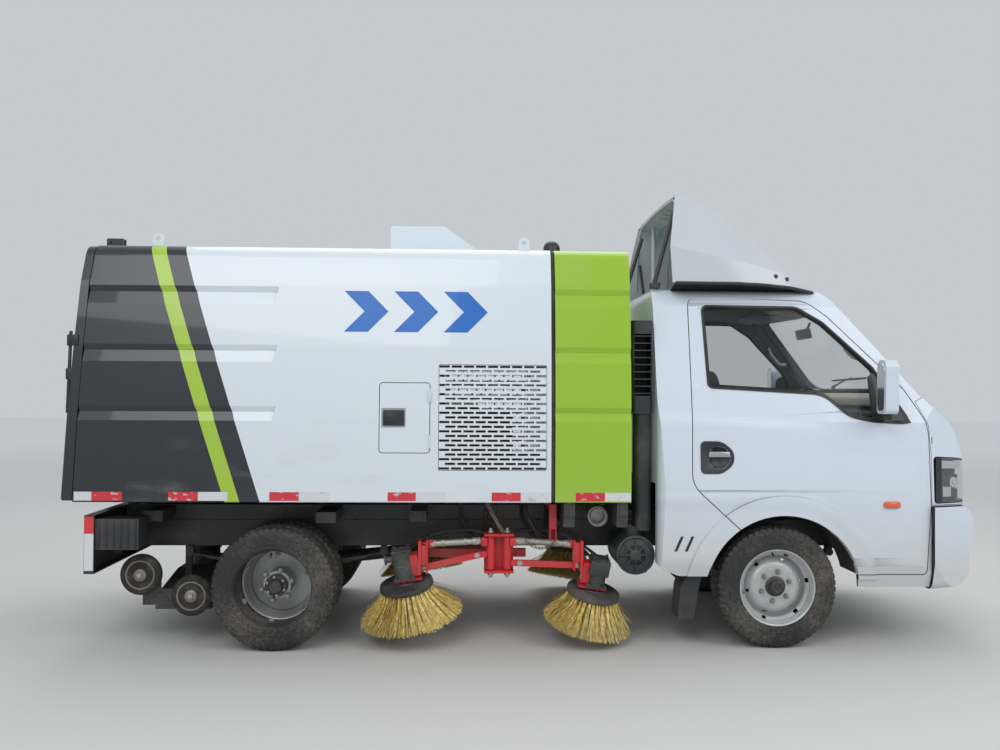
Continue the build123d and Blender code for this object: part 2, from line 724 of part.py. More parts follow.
# Tailgate, hung from two lugs above the roof edge
tail_rows = [(-2522, 816, 12), (-2446, 2222, 40), (-2400, 2222, 0), (-2466, 816, 0)]
tailgate = box_form(5, -2700, -2300) & along_y(face(tail_rows), -950, 950)
tail_inner = box_form(45, -2700, -2300) & along_y(
    face([(-2498, 830, 0), (-2424, 2180, 0), (-2388, 2180, 0), (-2453, 830, 0)]), -950, 950
)
tailgate -= tail_inner
tailgate = tailgate & along_y(face([(-2700, 800, 0), (-2700, 2400, 0), (-2397, 2400, 0), (-2462.5, 800, 0)]), -950, 950)
for y in (-450, 450):
    tailgate += block(gate_hinge[0] - 24, gate_hinge[0] + 16, y - 12, y + 12, 2190, gate_hinge[1] + 14)
    tailgate += rod((gate_hinge[0], y - 34, gate_hinge[1]), (gate_hinge[0], y + 34, gate_hinge[1]), 9)
save("tailgate", tailgate)

# Water tank between the sweeper body and the cab
tank = box_form(1, tank_rear_x, tank_front_x)
for band in groove_bands(tank_rear_x - 40, tank_front_x + 60, 0):
    tank -= band
tank -= box_form(30, tank_rear_x + 12, tank_front_x - 12)
save("water_tank", tank)

# Sub-frame on the ladder frame: long bearers, hinge lugs and outriggers
bearer = block(rail_rear_x, 560, 348, 392, rail_top_z + 0.5, 738)
ear_rows = [(-2240, 700, 0), (-2310, 700, 20), (-2345, 748, 20), (-2466, 748, 34), (-2466, 822, 34), (-2400, 822, 40)]
lug = along_y(face(ear_rows), 352, 382)
lug -= rod((tip_hinge_x, 340, tip_hinge_z), (tip_hinge_x, 395, tip_hinge_z), 18.6)
subframe = bearer + lug
# Columns: middle x, width, reach
outriggers = [(-2120, 110, 640), (-1150, 110, 700), (-640, 90, 640), (190, 60, 860), (480, 60, 860)]
for x, width, reach in outriggers:
    subframe += block(x - width / 2, x + width / 2, 390, reach, 672, 732)
for x in (190, 480):
    subframe += block(x - 30, x + 30, 348, 870, 732, 806)
subframe = both_sides(subframe)
for x in (-520, -130):
    subframe += block(x - 30, x + 30, -350, 350, 680, 738)
save("subframe", subframe)

# Fan engine under the front of the sweeper body
fan_engine = block(-560, -300, -280, 280, 738.5, 1330) + rod((-300, 0, 1050), (-90, 0, 1050), 250)
fan_engine += block(-300, -100, -200, 200, 738.5, 900)
save("fan_engine", fan_engine)

# Tipping cylinder, its rod eye just short of the hopper fork
cylinder_foot = Vector(-1080, 0, 612)
cylinder_eye = Vector(cross_x, 0, 762)
reach = cylinder_eye - cylinder_foot
cylinder = rod(tuple(cylinder_foot), tuple(cylinder_foot + reach * 0.62), 46)
cylinder += rod(tuple(cylinder_foot), tuple(cylinder_eye - reach * 0.02), 24)
cylinder += rod((cross_x, -26, 762), (cross_x, 26, 762), 22)
cylinder += block(-1075, -1030.5, -42, 42, 580, 636)
save("tip_cylinder", cylinder)

# Brush carriers: a cross arm, a red pivot frame, a hanger post and a long side beam
pin_z = (412, 604)
rear_pin = (-232, -700)
front_pin = (-140, -700)
carrier = block(-240, -130, -640, -400.3, 520, 590)
carrier += block(-268, -104, -660, -640, 399, 617)
for z0, z1 in ((399, 412), (604, 617)):
    carrier += block(-268, -104, -740, -640, z0, z1)
for x, y in (rear_pin, front_pin):
    carrier += rod((x, y, pin_z[0]), (x, y, pin_z[1]), 14)
carrier += block(95, 135, -712, -672, 640, 776) + block(95, 135, -712, -350, 738.4, 778)
carrier += block(-600, -30, -616, -576, 470, 515) + block(-200, -160, -640, -576, 500, 560)
save("brush_carrier", both_sides(carrier))

# Brush arms and brushes. Columns: name, pin, bar foot, bar end, disc centre, tilts, rim radius, drop
brush_rows = [
    ("rear", rear_pin, (-285, -704, 500), (-620, -705, 424), (-700, -700, 335), -9, 12, 285, 165),
    ("front", front_pin, (-95, -704, 452), (268, -705, 440), (345, -700, 292), 10, 12, 245, 170),
]
disc_radius = 150
for name, pin, foot, end, centre, pitch, roll, rim_reach, drop in brush_rows:
    side = -1 if end[0] < pin[0] else 1
    sleeve = rod((*pin, 418), (*pin, 598), 24) - rod((*pin, 410), (*pin, 606), 14.6)
    arm = sleeve
    for z in (foot[2], 575):
        arm += block(
            min(pin[0] + side * 22, foot[0]), max(pin[0] + side * 22, foot[0]), -716, -692, z - 16, z + 16
        )
    arm += bar(foot, end, 24, 34)
    arm += rod((foot[0], -704, 575), (end[0], -705, 556), 11)
    arm += rod((foot[0] + side * 90, -704, 570), (end[0] - side * 90, -705, 560), 17)
    plate_x = end[0] + side * 6
    arm += block(plate_x - 8, plate_x + 8, -755, -655, end[2] - 30, 580)
    tilt = Pos(*centre) * Rot(roll, pitch, 0)
    motor = tilt * Pos(0, 0, 118) * Cylinder(50, 150)
    motor += tilt * Pos(0, 0, 48) * Cylinder(20, 50)
    table = tilt * Pos(-side * 20, 0, 34) * Box(150, 96, 10)
    arm += motor + table
    arm += tilt * Pos(-side * 66, 0, 110) * Box(44, 60, 120)
    brush = Cylinder(disc_radius, 38)
    brush += Pos(0, 0, -19 - drop / 2) * Cone(rim_reach, disc_radius - 14, drop)
    brush -= Pos(0, 0, 10) * Cylinder(24, 40)
    brush -= Pos(0, 0, -19 - drop) * Cone(rim_reach - 70, 60, drop * 1.2)
    brush = tilt * brush
    arm -= tilt * Pos(0, 0, 0) * Cylinder(400, 50)
    save(f"brush_arm_{name}_right", arm)
    save(f"brush_arm_{name}_left", mirror(arm, about=Plane.XZ))
    save(f"brush_{name}_right", brush)
    save(f"brush_{name}_left", mirror(brush, about=Plane.XZ))

# Suction head behind the rear wheels: an open-bottomed hood with a round duct
head_view = [(600, 176, 0), (600, 250, 30), (180, 330, 60)]
head = along_x(face(mirrored(head_view)), -2110, -1800)
head -= along_x(offset(face(mirrored(head_view)), -6), -2104, -1806)
head -= block(-2104, -1806, -590, 590, 150, 200)
duct = Pos(inlet[0], 0, 560) * Cylinder(96, 500)
duct_hole = Pos(inlet[0], 0, 560) * Cylinder(90, 640)
head = head + (duct & block(-2200, -1800, -200, 200, 318, 420)) - duct_hole
for y in (-300, 300):
    head += block(-2030, -1990, y - 6, y + 6, 290, 560)
caster_rows = [("rear", -2166, 384), ("front", -1887, 268)]
for word, x, z in caster_rows:
    for side in (-1, 1):
        head += rod((x, side * 592, z), (x, side * 705, z), 11)
for side in (-1, 1):
    head += block(-2180, -2080, side * 598 - 6, side * 598 + 6, 200, 400)
    head += block(-2110, -1800, side * 598 - 6, side * 598 + 6, 200, 290)
save("suction_head", head)

# Suction hose from the head up to the hopper floor, with shallow ribs
hose_rows = []
for index in range(6):
    z = 426 + index * 68
    hose_rows += [(104, z), (104, z + 34), (98, z + 34), (98, z + 68)]
hose_rows = [(90, 426)] + hose_rows + [(90, 834)]
hose_flat = make_face(Polyline(*[(r, z) for r, z in hose_rows], close=True))
hose = Pos(inlet[0], inlet[1], 0) * revolve(Plane.XZ * hose_flat, axis=Axis.Z)
save("suction_hose", hose)

# Small guide wheels on the suction head
caster_tyre = [(-24, 40), (-24, 98), (-14, 112), (14, 112), (24, 98), (24, 40), (26, 24)]
caster_tyre += [(26, 12), (-26, 12), (-26, 24)]
for word, x, z in caster_rows:
    for name, side in (("right", -1), ("left", 1)):
        wheel = turned(caster_tyre, x, side * 672, z, side)
        save(f"guide_wheel_{word}_{name}", wheel)

# Rear bumper channel and its lamps
bumper_z = (423, 735)
beam = block(-2406, -2352, -872, 872, *bumper_z) - block(-2401, -2340, -867, 867, 428, 730)
beam -= both_sides(block(-2410, -2395, 700, 840, 560, 650))
hitch_middle_z = 579
hitch_hole = 8.5
for y in (-55, 55):
    for z in (hitch_middle_z - 45, hitch_middle_z + 45):
        beam -= rod((-2415, y, z), (-2390, y, z), hitch_hole)
beam += both_sides(block(-2402, -2345.4, 372, 398, 505, 645))
save("rear_bumper", beam)
lamp = block(-2411, -2395, 702, 838, 562, 648) + block(-2396, -2126, 690, 850, 548, 712)
save("tail_lamps", both_sides(lamp))

# Air intake: louvred tower, down pipe and a filter drum across the frame
tower = along_z(face([(548, -770, 25), (548, -610, 25), (666, -610, 25), (666, -770, 25)]), 1290, 1810)
tower -= block(560, 654, -780, -650, 1390, 1735)
for index in range(9):
    z = 1400 + index * 40
    tower += along_y(face([(556, z, 0), (658, z, 0), (658, z + 6, 0), (556, z + 6, 0)]), -766, -640)
pipe = along_z(face([(570, -760, 30), (570, -630, 30), (664, -630, 30), (664, -760, 30)]), 640, 1290)
drum = turned([(0, 0), (0, 104), (330, 104), (340, 96), (340, 60), (330, 60), (330, 0)], 566, -450, 510, -1)
save("air_intake", tower + pipe + drum)

# Fuel tank on the left rail
fuel_face = face([(415, 370, 40), (760, 370, 60), (760, 640, 60), (415, 640, 40)])
fuel = along_x(fuel_face, 452, 662)
fuel += block(480, 620, 400.3, 420, 520, 600)
save("fuel_tank", fuel)
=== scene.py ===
import bmesh
import bpy
import json
import random
from math import atan2, cos, pi, radians, sin
from mathutils import Matrix, Vector
from mathutils.bvhtree import BVHTree


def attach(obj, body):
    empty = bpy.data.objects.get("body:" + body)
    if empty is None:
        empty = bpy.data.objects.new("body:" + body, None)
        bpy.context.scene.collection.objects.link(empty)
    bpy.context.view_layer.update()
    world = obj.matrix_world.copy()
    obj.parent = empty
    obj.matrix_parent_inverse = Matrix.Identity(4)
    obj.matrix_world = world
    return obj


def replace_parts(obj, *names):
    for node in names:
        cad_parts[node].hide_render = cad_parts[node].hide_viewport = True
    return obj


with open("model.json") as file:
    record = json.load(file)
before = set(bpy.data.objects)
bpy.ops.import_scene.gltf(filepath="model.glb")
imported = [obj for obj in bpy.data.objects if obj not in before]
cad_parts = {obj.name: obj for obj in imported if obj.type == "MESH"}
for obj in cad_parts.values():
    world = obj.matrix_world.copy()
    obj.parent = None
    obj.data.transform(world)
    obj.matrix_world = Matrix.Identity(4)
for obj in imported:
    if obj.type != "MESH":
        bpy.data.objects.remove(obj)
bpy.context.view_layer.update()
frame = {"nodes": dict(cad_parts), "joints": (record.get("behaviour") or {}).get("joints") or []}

nodes = frame["nodes"]

# The place where the truck is looked at: a person's eye height, beside the middle of the truck,
# square on to its right side.
eye_place = Vector((-0.386, -6.085, 1.412))
eye_yaw, eye_pitch, eye_roll = -2.13, 90.95, 0.35
camera_data = bpy.data.cameras.new("side_camera")
camera_data.sensor_width = 36
camera_data.lens = 34.59
camera = bpy.data.objects.new("side_camera", camera_data)
bpy.context.scene.collection.objects.link(camera)
turn = Matrix.Rotation(radians(eye_yaw), 4, "Z") @ Matrix.Rotation(radians(eye_pitch), 4, "X")
turn = turn @ Matrix.Rotation(radians(eye_roll), 4, "Z")
camera.matrix_world = Matrix.Translation(eye_place) @ turn
bpy.context.scene.camera = camera
bpy.context.scene.view_settings.view_transform = "Standard"

# Ladder frame, sub-frame, axles and springs: pressed and cast steel in black chassis paint, with
# pale road dust in patches. The steel rails, cross-members and springs are the CAD's own shapes.


class Sock:
    """A shader socket that can be used in sums."""

    def __init__(self, paint, socket):
        self.paint, self.socket = paint, socket

    def maths(self, operation, *values):
        return self.paint.node("ShaderNodeMath", {"operation": operation}, dict(enumerate(values)))

    def __add__(self, other):
        return self.maths("ADD", self, other)

    def __sub__(self, other):
        return self.maths("SUBTRACT", self, other)

    def __rsub__(self, other):
        return self.maths("SUBTRACT", other, self)

    def __mul__(self, other):
        return self.maths("MULTIPLY", self, other)

    def __pow__(self, other):
        return self.maths("POWER", self, other)

    def __gt__(self, other):
        return self.maths("GREATER_THAN", self, other)

    def __lt__(self, other):
        return self.maths("LESS_THAN", self, other)

    def __abs__(self):
        return self.maths("ABSOLUTE", self)

    def sine(self):
        return self.maths("SINE", self)

    def most(self, other):
        return self.maths("MAXIMUM", self, other)

    def step(self, start, end):
        """0 at start and 1 at end, smooth between."""
        settings = {"interpolation_type": "SMOOTHSTEP"}
        sockets = {"Value": self, "From Min": start, "From Max": end}
        return self.paint.node("ShaderNodeMapRange", settings, sockets)

    __radd__ = __add__
    __rmul__ = __mul__


class Paint:
    """One material: its nodes, its patterns in the truck's own frame, and its surface."""

    def __init__(self, name):
        self.material = bpy.data.materials.new(name)
        self.material.use_nodes = True
        self.tree = self.material.node_tree
        self.tree.nodes.clear()

    def node(self, kind, settings=None, sockets=None, out=0):
        made = self.tree.nodes.new(kind)
        for key, value in (settings or {}).items():
            setattr(made, key, value)
        for key, value in (sockets or {}).items():
            if isinstance(value, Sock):
                self.tree.links.new(value.socket, made.inputs[key])
            else:
                made.inputs[key].default_value = value
        return Sock(self, made.outputs[out]) if made.outputs else None

    def where(self, stretch=None):
        """Where a point is on the piece, in metres."""
        spot = self.node("ShaderNodeTexCoord", out=3)
        if stretch:
            spot = self.node("ShaderNodeVectorMath", {"operation": "MULTIPLY"}, {0: spot, 1: stretch})
        return spot

    def place(self):
        split = self.node("ShaderNodeSeparateXYZ", None, {0: self.where()})
        return [Sock(self, split.socket.node.outputs[index]) for index in range(3)]

    def mix(self, share, first, second):
        first, second = ((*c, 1) if isinstance(c, tuple) and len(c) == 3 else c for c in (first, second))
        return self.node("ShaderNodeMix", {"data_type": "RGBA"}, {0: share, 6: first, 7: second}, out=2)

    def noise(self, scale, detail=3.0, stretch=None):
        sockets = {"Vector": self.where(stretch), "Scale": scale, "Detail": detail}
        return self.node("ShaderNodeTexNoise", None, sockets)

    def surface(self, colour, roughness, metallic=0.0, coat=0.0, bump=None, depth=0.001, **more):
        if isinstance(colour, tuple) and len(colour) == 3:
            colour = (*colour, 1)
        sockets = {"Base Color": colour, "Roughness": roughness, "Metallic": metallic, "Coat Weight": coat}
        sockets.update({key.replace("_", " "): value for key, value in more.items()})
        if bump is not None:
            sockets["Normal"] = self.node("ShaderNodeBump", None, {"Height": bump, "Distance": depth})
        skin = self.node("ShaderNodeBsdfPrincipled", None, sockets)
        self.node("ShaderNodeOutputMaterial", None, {"Surface": skin})
        return self.material


def dress(name, material):
    """The material on every slot of one CAD piece."""
    piece = nodes[name]
    if not piece.material_slots:
        piece.data.materials.append(material)
    for slot in piece.material_slots:
        slot.link = "OBJECT"
        slot.material = material


def road_paint(name, colour, gloss=0.45, dust_share=0.5, metallic=0.0, grit=0.0005):
    paint = Paint(name)
    x, y, z = paint.place()
    blotch = paint.noise(3.0, 6.0)
    speck = paint.noise(90.0, 2.0)
    dust = (blotch * 0.8 + speck * 0.4).step(0.5, 0.85) * dust_share
    shade = paint.mix(dust, colour, (0.2, 0.18, 0.15))
    return paint.surface(shade, dust * 0.4 + gloss, metallic, 0.1, speck, grit)


chassis_black = road_paint("chassis_black", (0.02, 0.021, 0.024))
axle_iron = road_paint("axle_iron", (0.036, 0.034, 0.032), 0.6, 0.8)
for name in (
    "chassis_frame", "subframe", "suction_head", "rear_bumper", "tip_cylinder", "fuel_tank", "hopper_floor",
):
    dress(name, chassis_black)
for name in (
    "front_axle", "rear_axle", "propshaft", "knuckle_left", "knuckle_right", "engine_block", "fan_engine",
):
    dress(name, axle_iron)

# Tyres: ribbed tread with sipes and cut shoulder blocks, and moulded rings on the sidewall. The
# rubber is black where it flexes and grey with road dust elsewhere.
def put(name, shape):
    """A new object in the scene."""
    made = bpy.data.objects.new(name, shape)
    bpy.context.scene.collection.objects.link(made)
    return made


class Forge:
    """Mesh forms gathered into one piece."""

    def __init__(self):
        self.mesh = bmesh.new()

    def add(self, points, faces):
        self.corners = [self.mesh.verts.new(point) for point in points]
        return [self.mesh.faces.new([self.corners[index] for index in face]) for face in faces]

    def skin(self, rings, wrap=True, loop=False, caps=False):
        """A surface through rings of points; loop joins the last ring to the first."""
        size, count = len(rings[0]), len(rings)
        faces = []
        for row in range(count if loop else count - 1):
            below, above = row * size, (row + 1) % count * size
            for index in range(size if wrap else size - 1):
                after = (index + 1) % size
                faces.append((below + index, below + after, above + after, above + index))
        if caps:
            last = (count - 1) * size
            faces += [tuple(reversed(range(size))), tuple(range(last, last + size))]
        return self.add([spot for ring in rings for spot in ring], faces)

    def block(self, low, high, edge=0.002, turn=None):
        """A rectangular form with eased edges, turned about its middle if a matrix is given."""
        low, high = Vector(low), Vector(high)
        middle = (low + high) / 2
        spots = [(x, y, z) for x in (low.x, high.x) for y in (low.y, high.y) for z in (low.z, high.z)]
        if turn:
            spots = [middle + turn @ (Vector(spot) - middle) for spot in spots]
        sides = ((0, 1, 3, 2), (4, 6, 7, 5), (0, 4, 5, 1), (2, 3, 7, 6), (0, 2, 6, 4), (1, 5, 7, 3))
        made = self.add(spots, sides)
        self.ease(made, edge)
        return self

    def ease(self, faces, edge, segments=2):
        if edge:
            edges = list(dict.fromkeys(link for face in faces for link in face.edges))
            bmesh.ops.bevel(
                self.mesh, geom=edges, offset=edge, segments=segments, affect="EDGES", profile=0.5
            )

    def rod(self, start, end, radius, sides=16, end_radius=None, edge=0.0):
        """A round or six-sided bar from start to end."""
        start, end = Vector(start), Vector(end)
        along = (end - start).to_track_quat("Z", "Y").to_matrix()
        tip = radius if end_radius is None else end_radius
        turns = [2 * pi * index / sides for index in range(sides)]
        rings = [
            [centre + along @ Vector((reach * cos(angle), reach * sin(angle), 0)) for angle in turns]
            for centre, reach in ((start, radius), (end, tip))
        ]
        made = self.skin(rings, caps=True)
        if edge:
            rims = [link for face in made[-2:] for link in face.edges]
            bmesh.ops.bevel(self.mesh, geom=rims, offset=edge, segments=2, affect="EDGES", profile=0.5)
        return self

    def turned(self, rows, place, steps=48, closed=True):
        """A turned form from rows of radius and height, about the place's own Z."""
        rings = []
        for index in range(steps):
            angle = 2 * pi * index / steps
            rings.append([place @ Vector((r * cos(angle), r * sin(angle), h)) for r, h in rows])
        self.skin(rings, wrap=closed, loop=True)
        bmesh.ops.remove_doubles(self.mesh, verts=self.corners, dist=1e-6)
        return self

    def plate(self, outline, normal, offset, thickness, edge=0.0):
        """A flat plate: outline points in the two other axes, pushed along X, Y or Z."""
        axis = "XYZ".index(normal)
        rings = []
        for depth in (offset, offset + thickness):
            rings.append([(*spot[:axis], depth, *spot[axis:]) for spot in outline])
        made = self.skin(rings, caps=True)
        if edge:
            self.ease(made, edge, 1)
        return self

    def pipe(self, points, radius, sides=10, rounds=6):
        """A tube along a route whose corners are rounded off."""
        points = [Vector(point) for point in points]
        route = [points[0]]
        for before, corner, after in zip(points, points[1:], points[2:]):
            for index in range(rounds + 1):
                t = index / rounds
                a, b = corner.lerp(before, 0.45), corner.lerp(after, 0.45)
                route.append(a * (1 - t) ** 2 + corner * 2 * t * (1 - t) + b * t * t)
        route.append(points[-1])
        side, rings = None, []
        for index, spot in enumerate(route):
            ahead = route[min(index + 1, len(route) - 1)] - route[max(index - 1, 0)]
            ahead.normalize()
            if side is None:
                side = ahead.orthogonal().normalized()
            side = (side - ahead * side.dot(ahead)).normalized()
            up = ahead.cross(side)
            turns = [2 * pi * corner / sides for corner in range(sides)]
            rings.append([spot + (side * cos(angle) + up * sin(angle)) * radius for angle in turns])
        self.skin(rings, caps=True)
        return self

    def shape(self, name):
        bmesh.ops.recalc_face_normals(self.mesh, faces=self.mesh.faces)
        shape = bpy.data.meshes.new(name)
        self.mesh.to_mesh(shape)
        return shape

    def join(self, other):
        """Takes in another forge's forms."""
        shape = bpy.data.meshes.new("joined")
        other.mesh.to_mesh(shape)
        self.mesh.from_mesh(shape)

    def piece(self, name, material, body, slot=None, pair=False, sharp=38):
        """The piece itself, riding on its body; a pair has a mirrored twin on the left."""
        shape = self.shape(name)
        shape.materials.append(material)
        shape.polygons.foreach_set("use_smooth", [True] * len(shape.polygons))
        shape.set_sharp_from_angle(angle=radians(sharp))
        made = put(name, shape)
        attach(made, body)
        if pair:
            bmesh.ops.scale(self.mesh, vec=(1, -1, 1), verts=self.mesh.verts)
            twin, twin_body = name.replace("_right", "_left"), body.replace("_right", "_left")
            return made, self.piece(twin, material, twin_body, slot)
        return made


tyre_rubber = road_paint("tyre_rubber", (0.017, 0.017, 0.018), 0.7, 0.75, 0.0, 0.0003)
tread_pitches = 54
tread_depth = 0.008
# Columns: reach from the middle, radius, kind: 0 plain, 1 shoulder block, 2 rib, 3 groove
half_tread = [
    (0.0790, 0.2050, 0), (0.0865, 0.2100, 0), (0.0890, 0.2160, 0), (0.0925, 0.2170, 0),
    (0.0940, 0.2230, 0), (0.0930, 0.2280, 0), (0.0950, 0.2420, 0), (0.0966, 0.2440, 0),
    (0.0966, 0.2480, 0), (0.0956, 0.2500, 0), (0.0968, 0.2700, 0), (0.0955, 0.2900, 0),
    (0.0935, 0.2920, 0), (0.0900, 0.3080, 0), (0.0860, 0.3180, 1), (0.0780, 0.3290, 1),
    (0.0650, 0.3335, 1), (0.0470, 0.3350, 1), (0.0455, 0.3350, 3), (0.0395, 0.3350, 3),
    (0.0380, 0.3350, 2), (0.0170, 0.3350, 2), (0.0155, 0.3350, 3), (0.0095, 0.3350, 3),
    (0.0080, 0.3350, 2),
]
# Columns: share of one pitch, 1 where the shoulder is cut, 1 where the ribs are cut
tread_cuts = [
    (0.0, 0, 0), (0.05, 1, 0), (0.3, 1, 0), (0.35, 0, 0),
    (0.52, 0, 0), (0.55, 0, 1), (0.66, 0, 1), (0.69, 0, 0),
]
tyre = Forge()
across = [(-reach, radius, kind) for reach, radius, kind in half_tread]
across += list(reversed(half_tread))
tyre_rings = []
for pitch in range(tread_pitches):
    for share, shoulder_cut, rib_cut in tread_cuts:
        angle = (pitch + share) * 2 * pi / tread_pitches
        wave = 0.0022 if share < 0.5 else -0.0022
        ring = []
        for reach, radius, kind in across:
            if kind == 3 or (kind == 1 and shoulder_cut) or (kind == 2 and rib_cut):
                radius -= tread_depth * (1.0 if kind == 3 else 0.7)
            shift = wave if kind in (2, 3) else 0.0
            ring.append((radius * cos(angle), reach + shift, radius * sin(angle)))
        tyre_rings.append(ring)
tyre.skin(tyre_rings, loop=True)
front_axle_x, rear_axle_x, axle_z = 1.350, -1.410, 0.335
front_y, twin_y = 0.738, (0.548, 0.768)
road_tyre = tyre.piece("tread_tyre_front_right", tyre_rubber, "front_wheel_right", "tyre", sharp=30)
tyre_shape = road_tyre.data
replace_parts(road_tyre, "front_tyre_right")
road_tyre.matrix_world = Matrix.Translation((front_axle_x, -front_y, axle_z))
# Columns: name, body, x, y, turn, node that it stands for
tyre_places = [
    ("tread_tyre_front_left", "front_wheel_left", front_axle_x, front_y, 1.3, "front_tyre_left"),
    ("tread_tyre_outer_right", "rear_wheels_right", rear_axle_x, -twin_y[1], 0.5, "rear_tyres_right"),
    ("tread_tyre_inner_right", "rear_wheels_right", rear_axle_x, -twin_y[0], 0.9, None),
    ("tread_tyre_outer_left", "rear_wheels_left", rear_axle_x, twin_y[1], 0.2, "rear_tyres_left"),
    ("tread_tyre_inner_left", "rear_wheels_left", rear_axle_x, twin_y[0], 1.9, None),
]
for name, rider, x, y, turned_by, node in tyre_places:
    made = put(name, tyre_shape.copy())
    made.data.transform(Matrix.Rotation(turned_by, 4, "Y"))
    made.matrix_world = Matrix.Translation((x, y, axle_z))
    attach(made, rider)
    if node:
        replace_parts(made, node)

# Rims: pressed steel in silver paint, with a stepped edge, a domed disc in front and a deep dish
# behind, hand holes, hexagon nuts on domed washers, black hubs and rubber-covered valves.
rim_silver = road_paint("rim_silver", (0.5, 0.51, 0.51), 0.36, 0.35, 0.35, 0.0001)
nut_steel = road_paint("nut_steel", (0.33, 0.33, 0.31), 0.42, 0.35, 0.8)
hub_black = road_paint("hub_black", (0.02, 0.02, 0.021), 0.4, 0.35)
nuts_on_wheel, hub_bolt_circle = 6, 0.0505
# Columns: radius, reach outward from the middle of the tyre
rim_steps = [
    (0.2030, 0.079), (0.2095, 0.083), (0.2120, 0.087), (0.2100, 0.0905), (0.2060, 0.0895),
    (0.2020, 0.085), (0.1985, 0.081), (0.1960, 0.070), (0.1930, 0.064), (0.1905, 0.062),
    (0.1890, 0.046), (0.1780, 0.036), (0.1730, 0.030), (0.1730, -0.020), (0.1760, -0.026),
    (0.1890, -0.046), (0.1930, -0.064), (0.1985, -0.081), (0.2060, -0.0895), (0.2100, -0.0905),
    (0.2120, -0.087), (0.2030, -0.079), (0.2000, -0.062), (0.1960, -0.047), (0.1800, -0.025),
    (0.1765, -0.015), (0.1765, 0.026), (0.1800, 0.033), (0.1960, 0.047), (0.2000, 0.060),
]
domed_disc = [
    (0.0540, 0.0445), (0.0600, 0.0450), (0.1000, 0.0450), (0.1180, 0.0430), (0.1300, 0.0380),
    (0.1400, 0.0300), (0.1500, 0.0180), (0.1600, 0.0050), (0.1680, -0.0020), (0.1730, -0.0040),
    (0.1730, -0.0100), (0.1660, -0.0090), (0.1560, -0.0010), (0.1360, 0.0240), (0.1260, 0.0330),
    (0.1140, 0.0380), (0.0600, 0.0390), (0.0540, 0.0385),
]
dished_disc = [
    (0.0540, -0.0370), (0.0600, -0.0375), (0.1220, -0.0375), (0.1290, -0.0390), (0.1340, -0.0360),
    (0.1450, -0.0200), (0.1600, -0.0030), (0.1690, 0.0060), (0.1730, 0.0070), (0.1730, 0.0010),
    (0.1700, 0.0000), (0.1620, -0.0080), (0.1470, -0.0270), (0.1360, -0.0430), (0.1290, -0.0455),
    (0.1200, -0.0440), (0.0600, -0.0440), (0.0540, -0.0435),
]
# Columns: word, disc rows, nut seat, hand hole circle and seat, first hole, nut circle, first nut
wheel_kinds = [
    ("front", domed_disc, 0.045, 0.1510, 0.012, 10, 0.082, 19),
    ("rear", dished_disc, -0.0375, 0.1520, -0.010, 25, 0.085, 16),
]


def wheel_form(disc_rows, hole_circle, hole_seat, first_hole):
    """Rim and disc in one, with the hand holes cut; reach is along Z."""
    steel = Forge()
    steel.turned(rim_steps, Matrix.Identity(4), 96)
    steel.turned(disc_rows, Matrix.Identity(4), 96)
    disc = put("wheel_steel", steel.shape("wheel_steel"))
    plugs = Forge()
    for index in range(6):
        angle = radians(first_hole + 60 * index)
        lean = Vector((cos(angle), sin(angle), 1.0)).normalized() * 0.05
        middle = Vector((hole_circle * cos(angle), hole_circle * sin(angle), hole_seat))
        plugs.rod(middle - lean, middle + lean, 0.0135, 20)
    cutter = put("hand_holes", plugs.shape("hand_holes"))
    cut = disc.modifiers.new("holes", "BOOLEAN")
    cut.operation, cut.object, cut.solver = "DIFFERENCE", cutter, "EXACT"
    bpy.context.view_layer.update()
    shape = bpy.data.meshes.new_from_object(disc.evaluated_get(bpy.context.evaluated_depsgraph_get()))
    for made in (disc, cutter):
        bpy.data.objects.remove(made)
    result = Forge()
    result.mesh.from_mesh(shape)
    return result


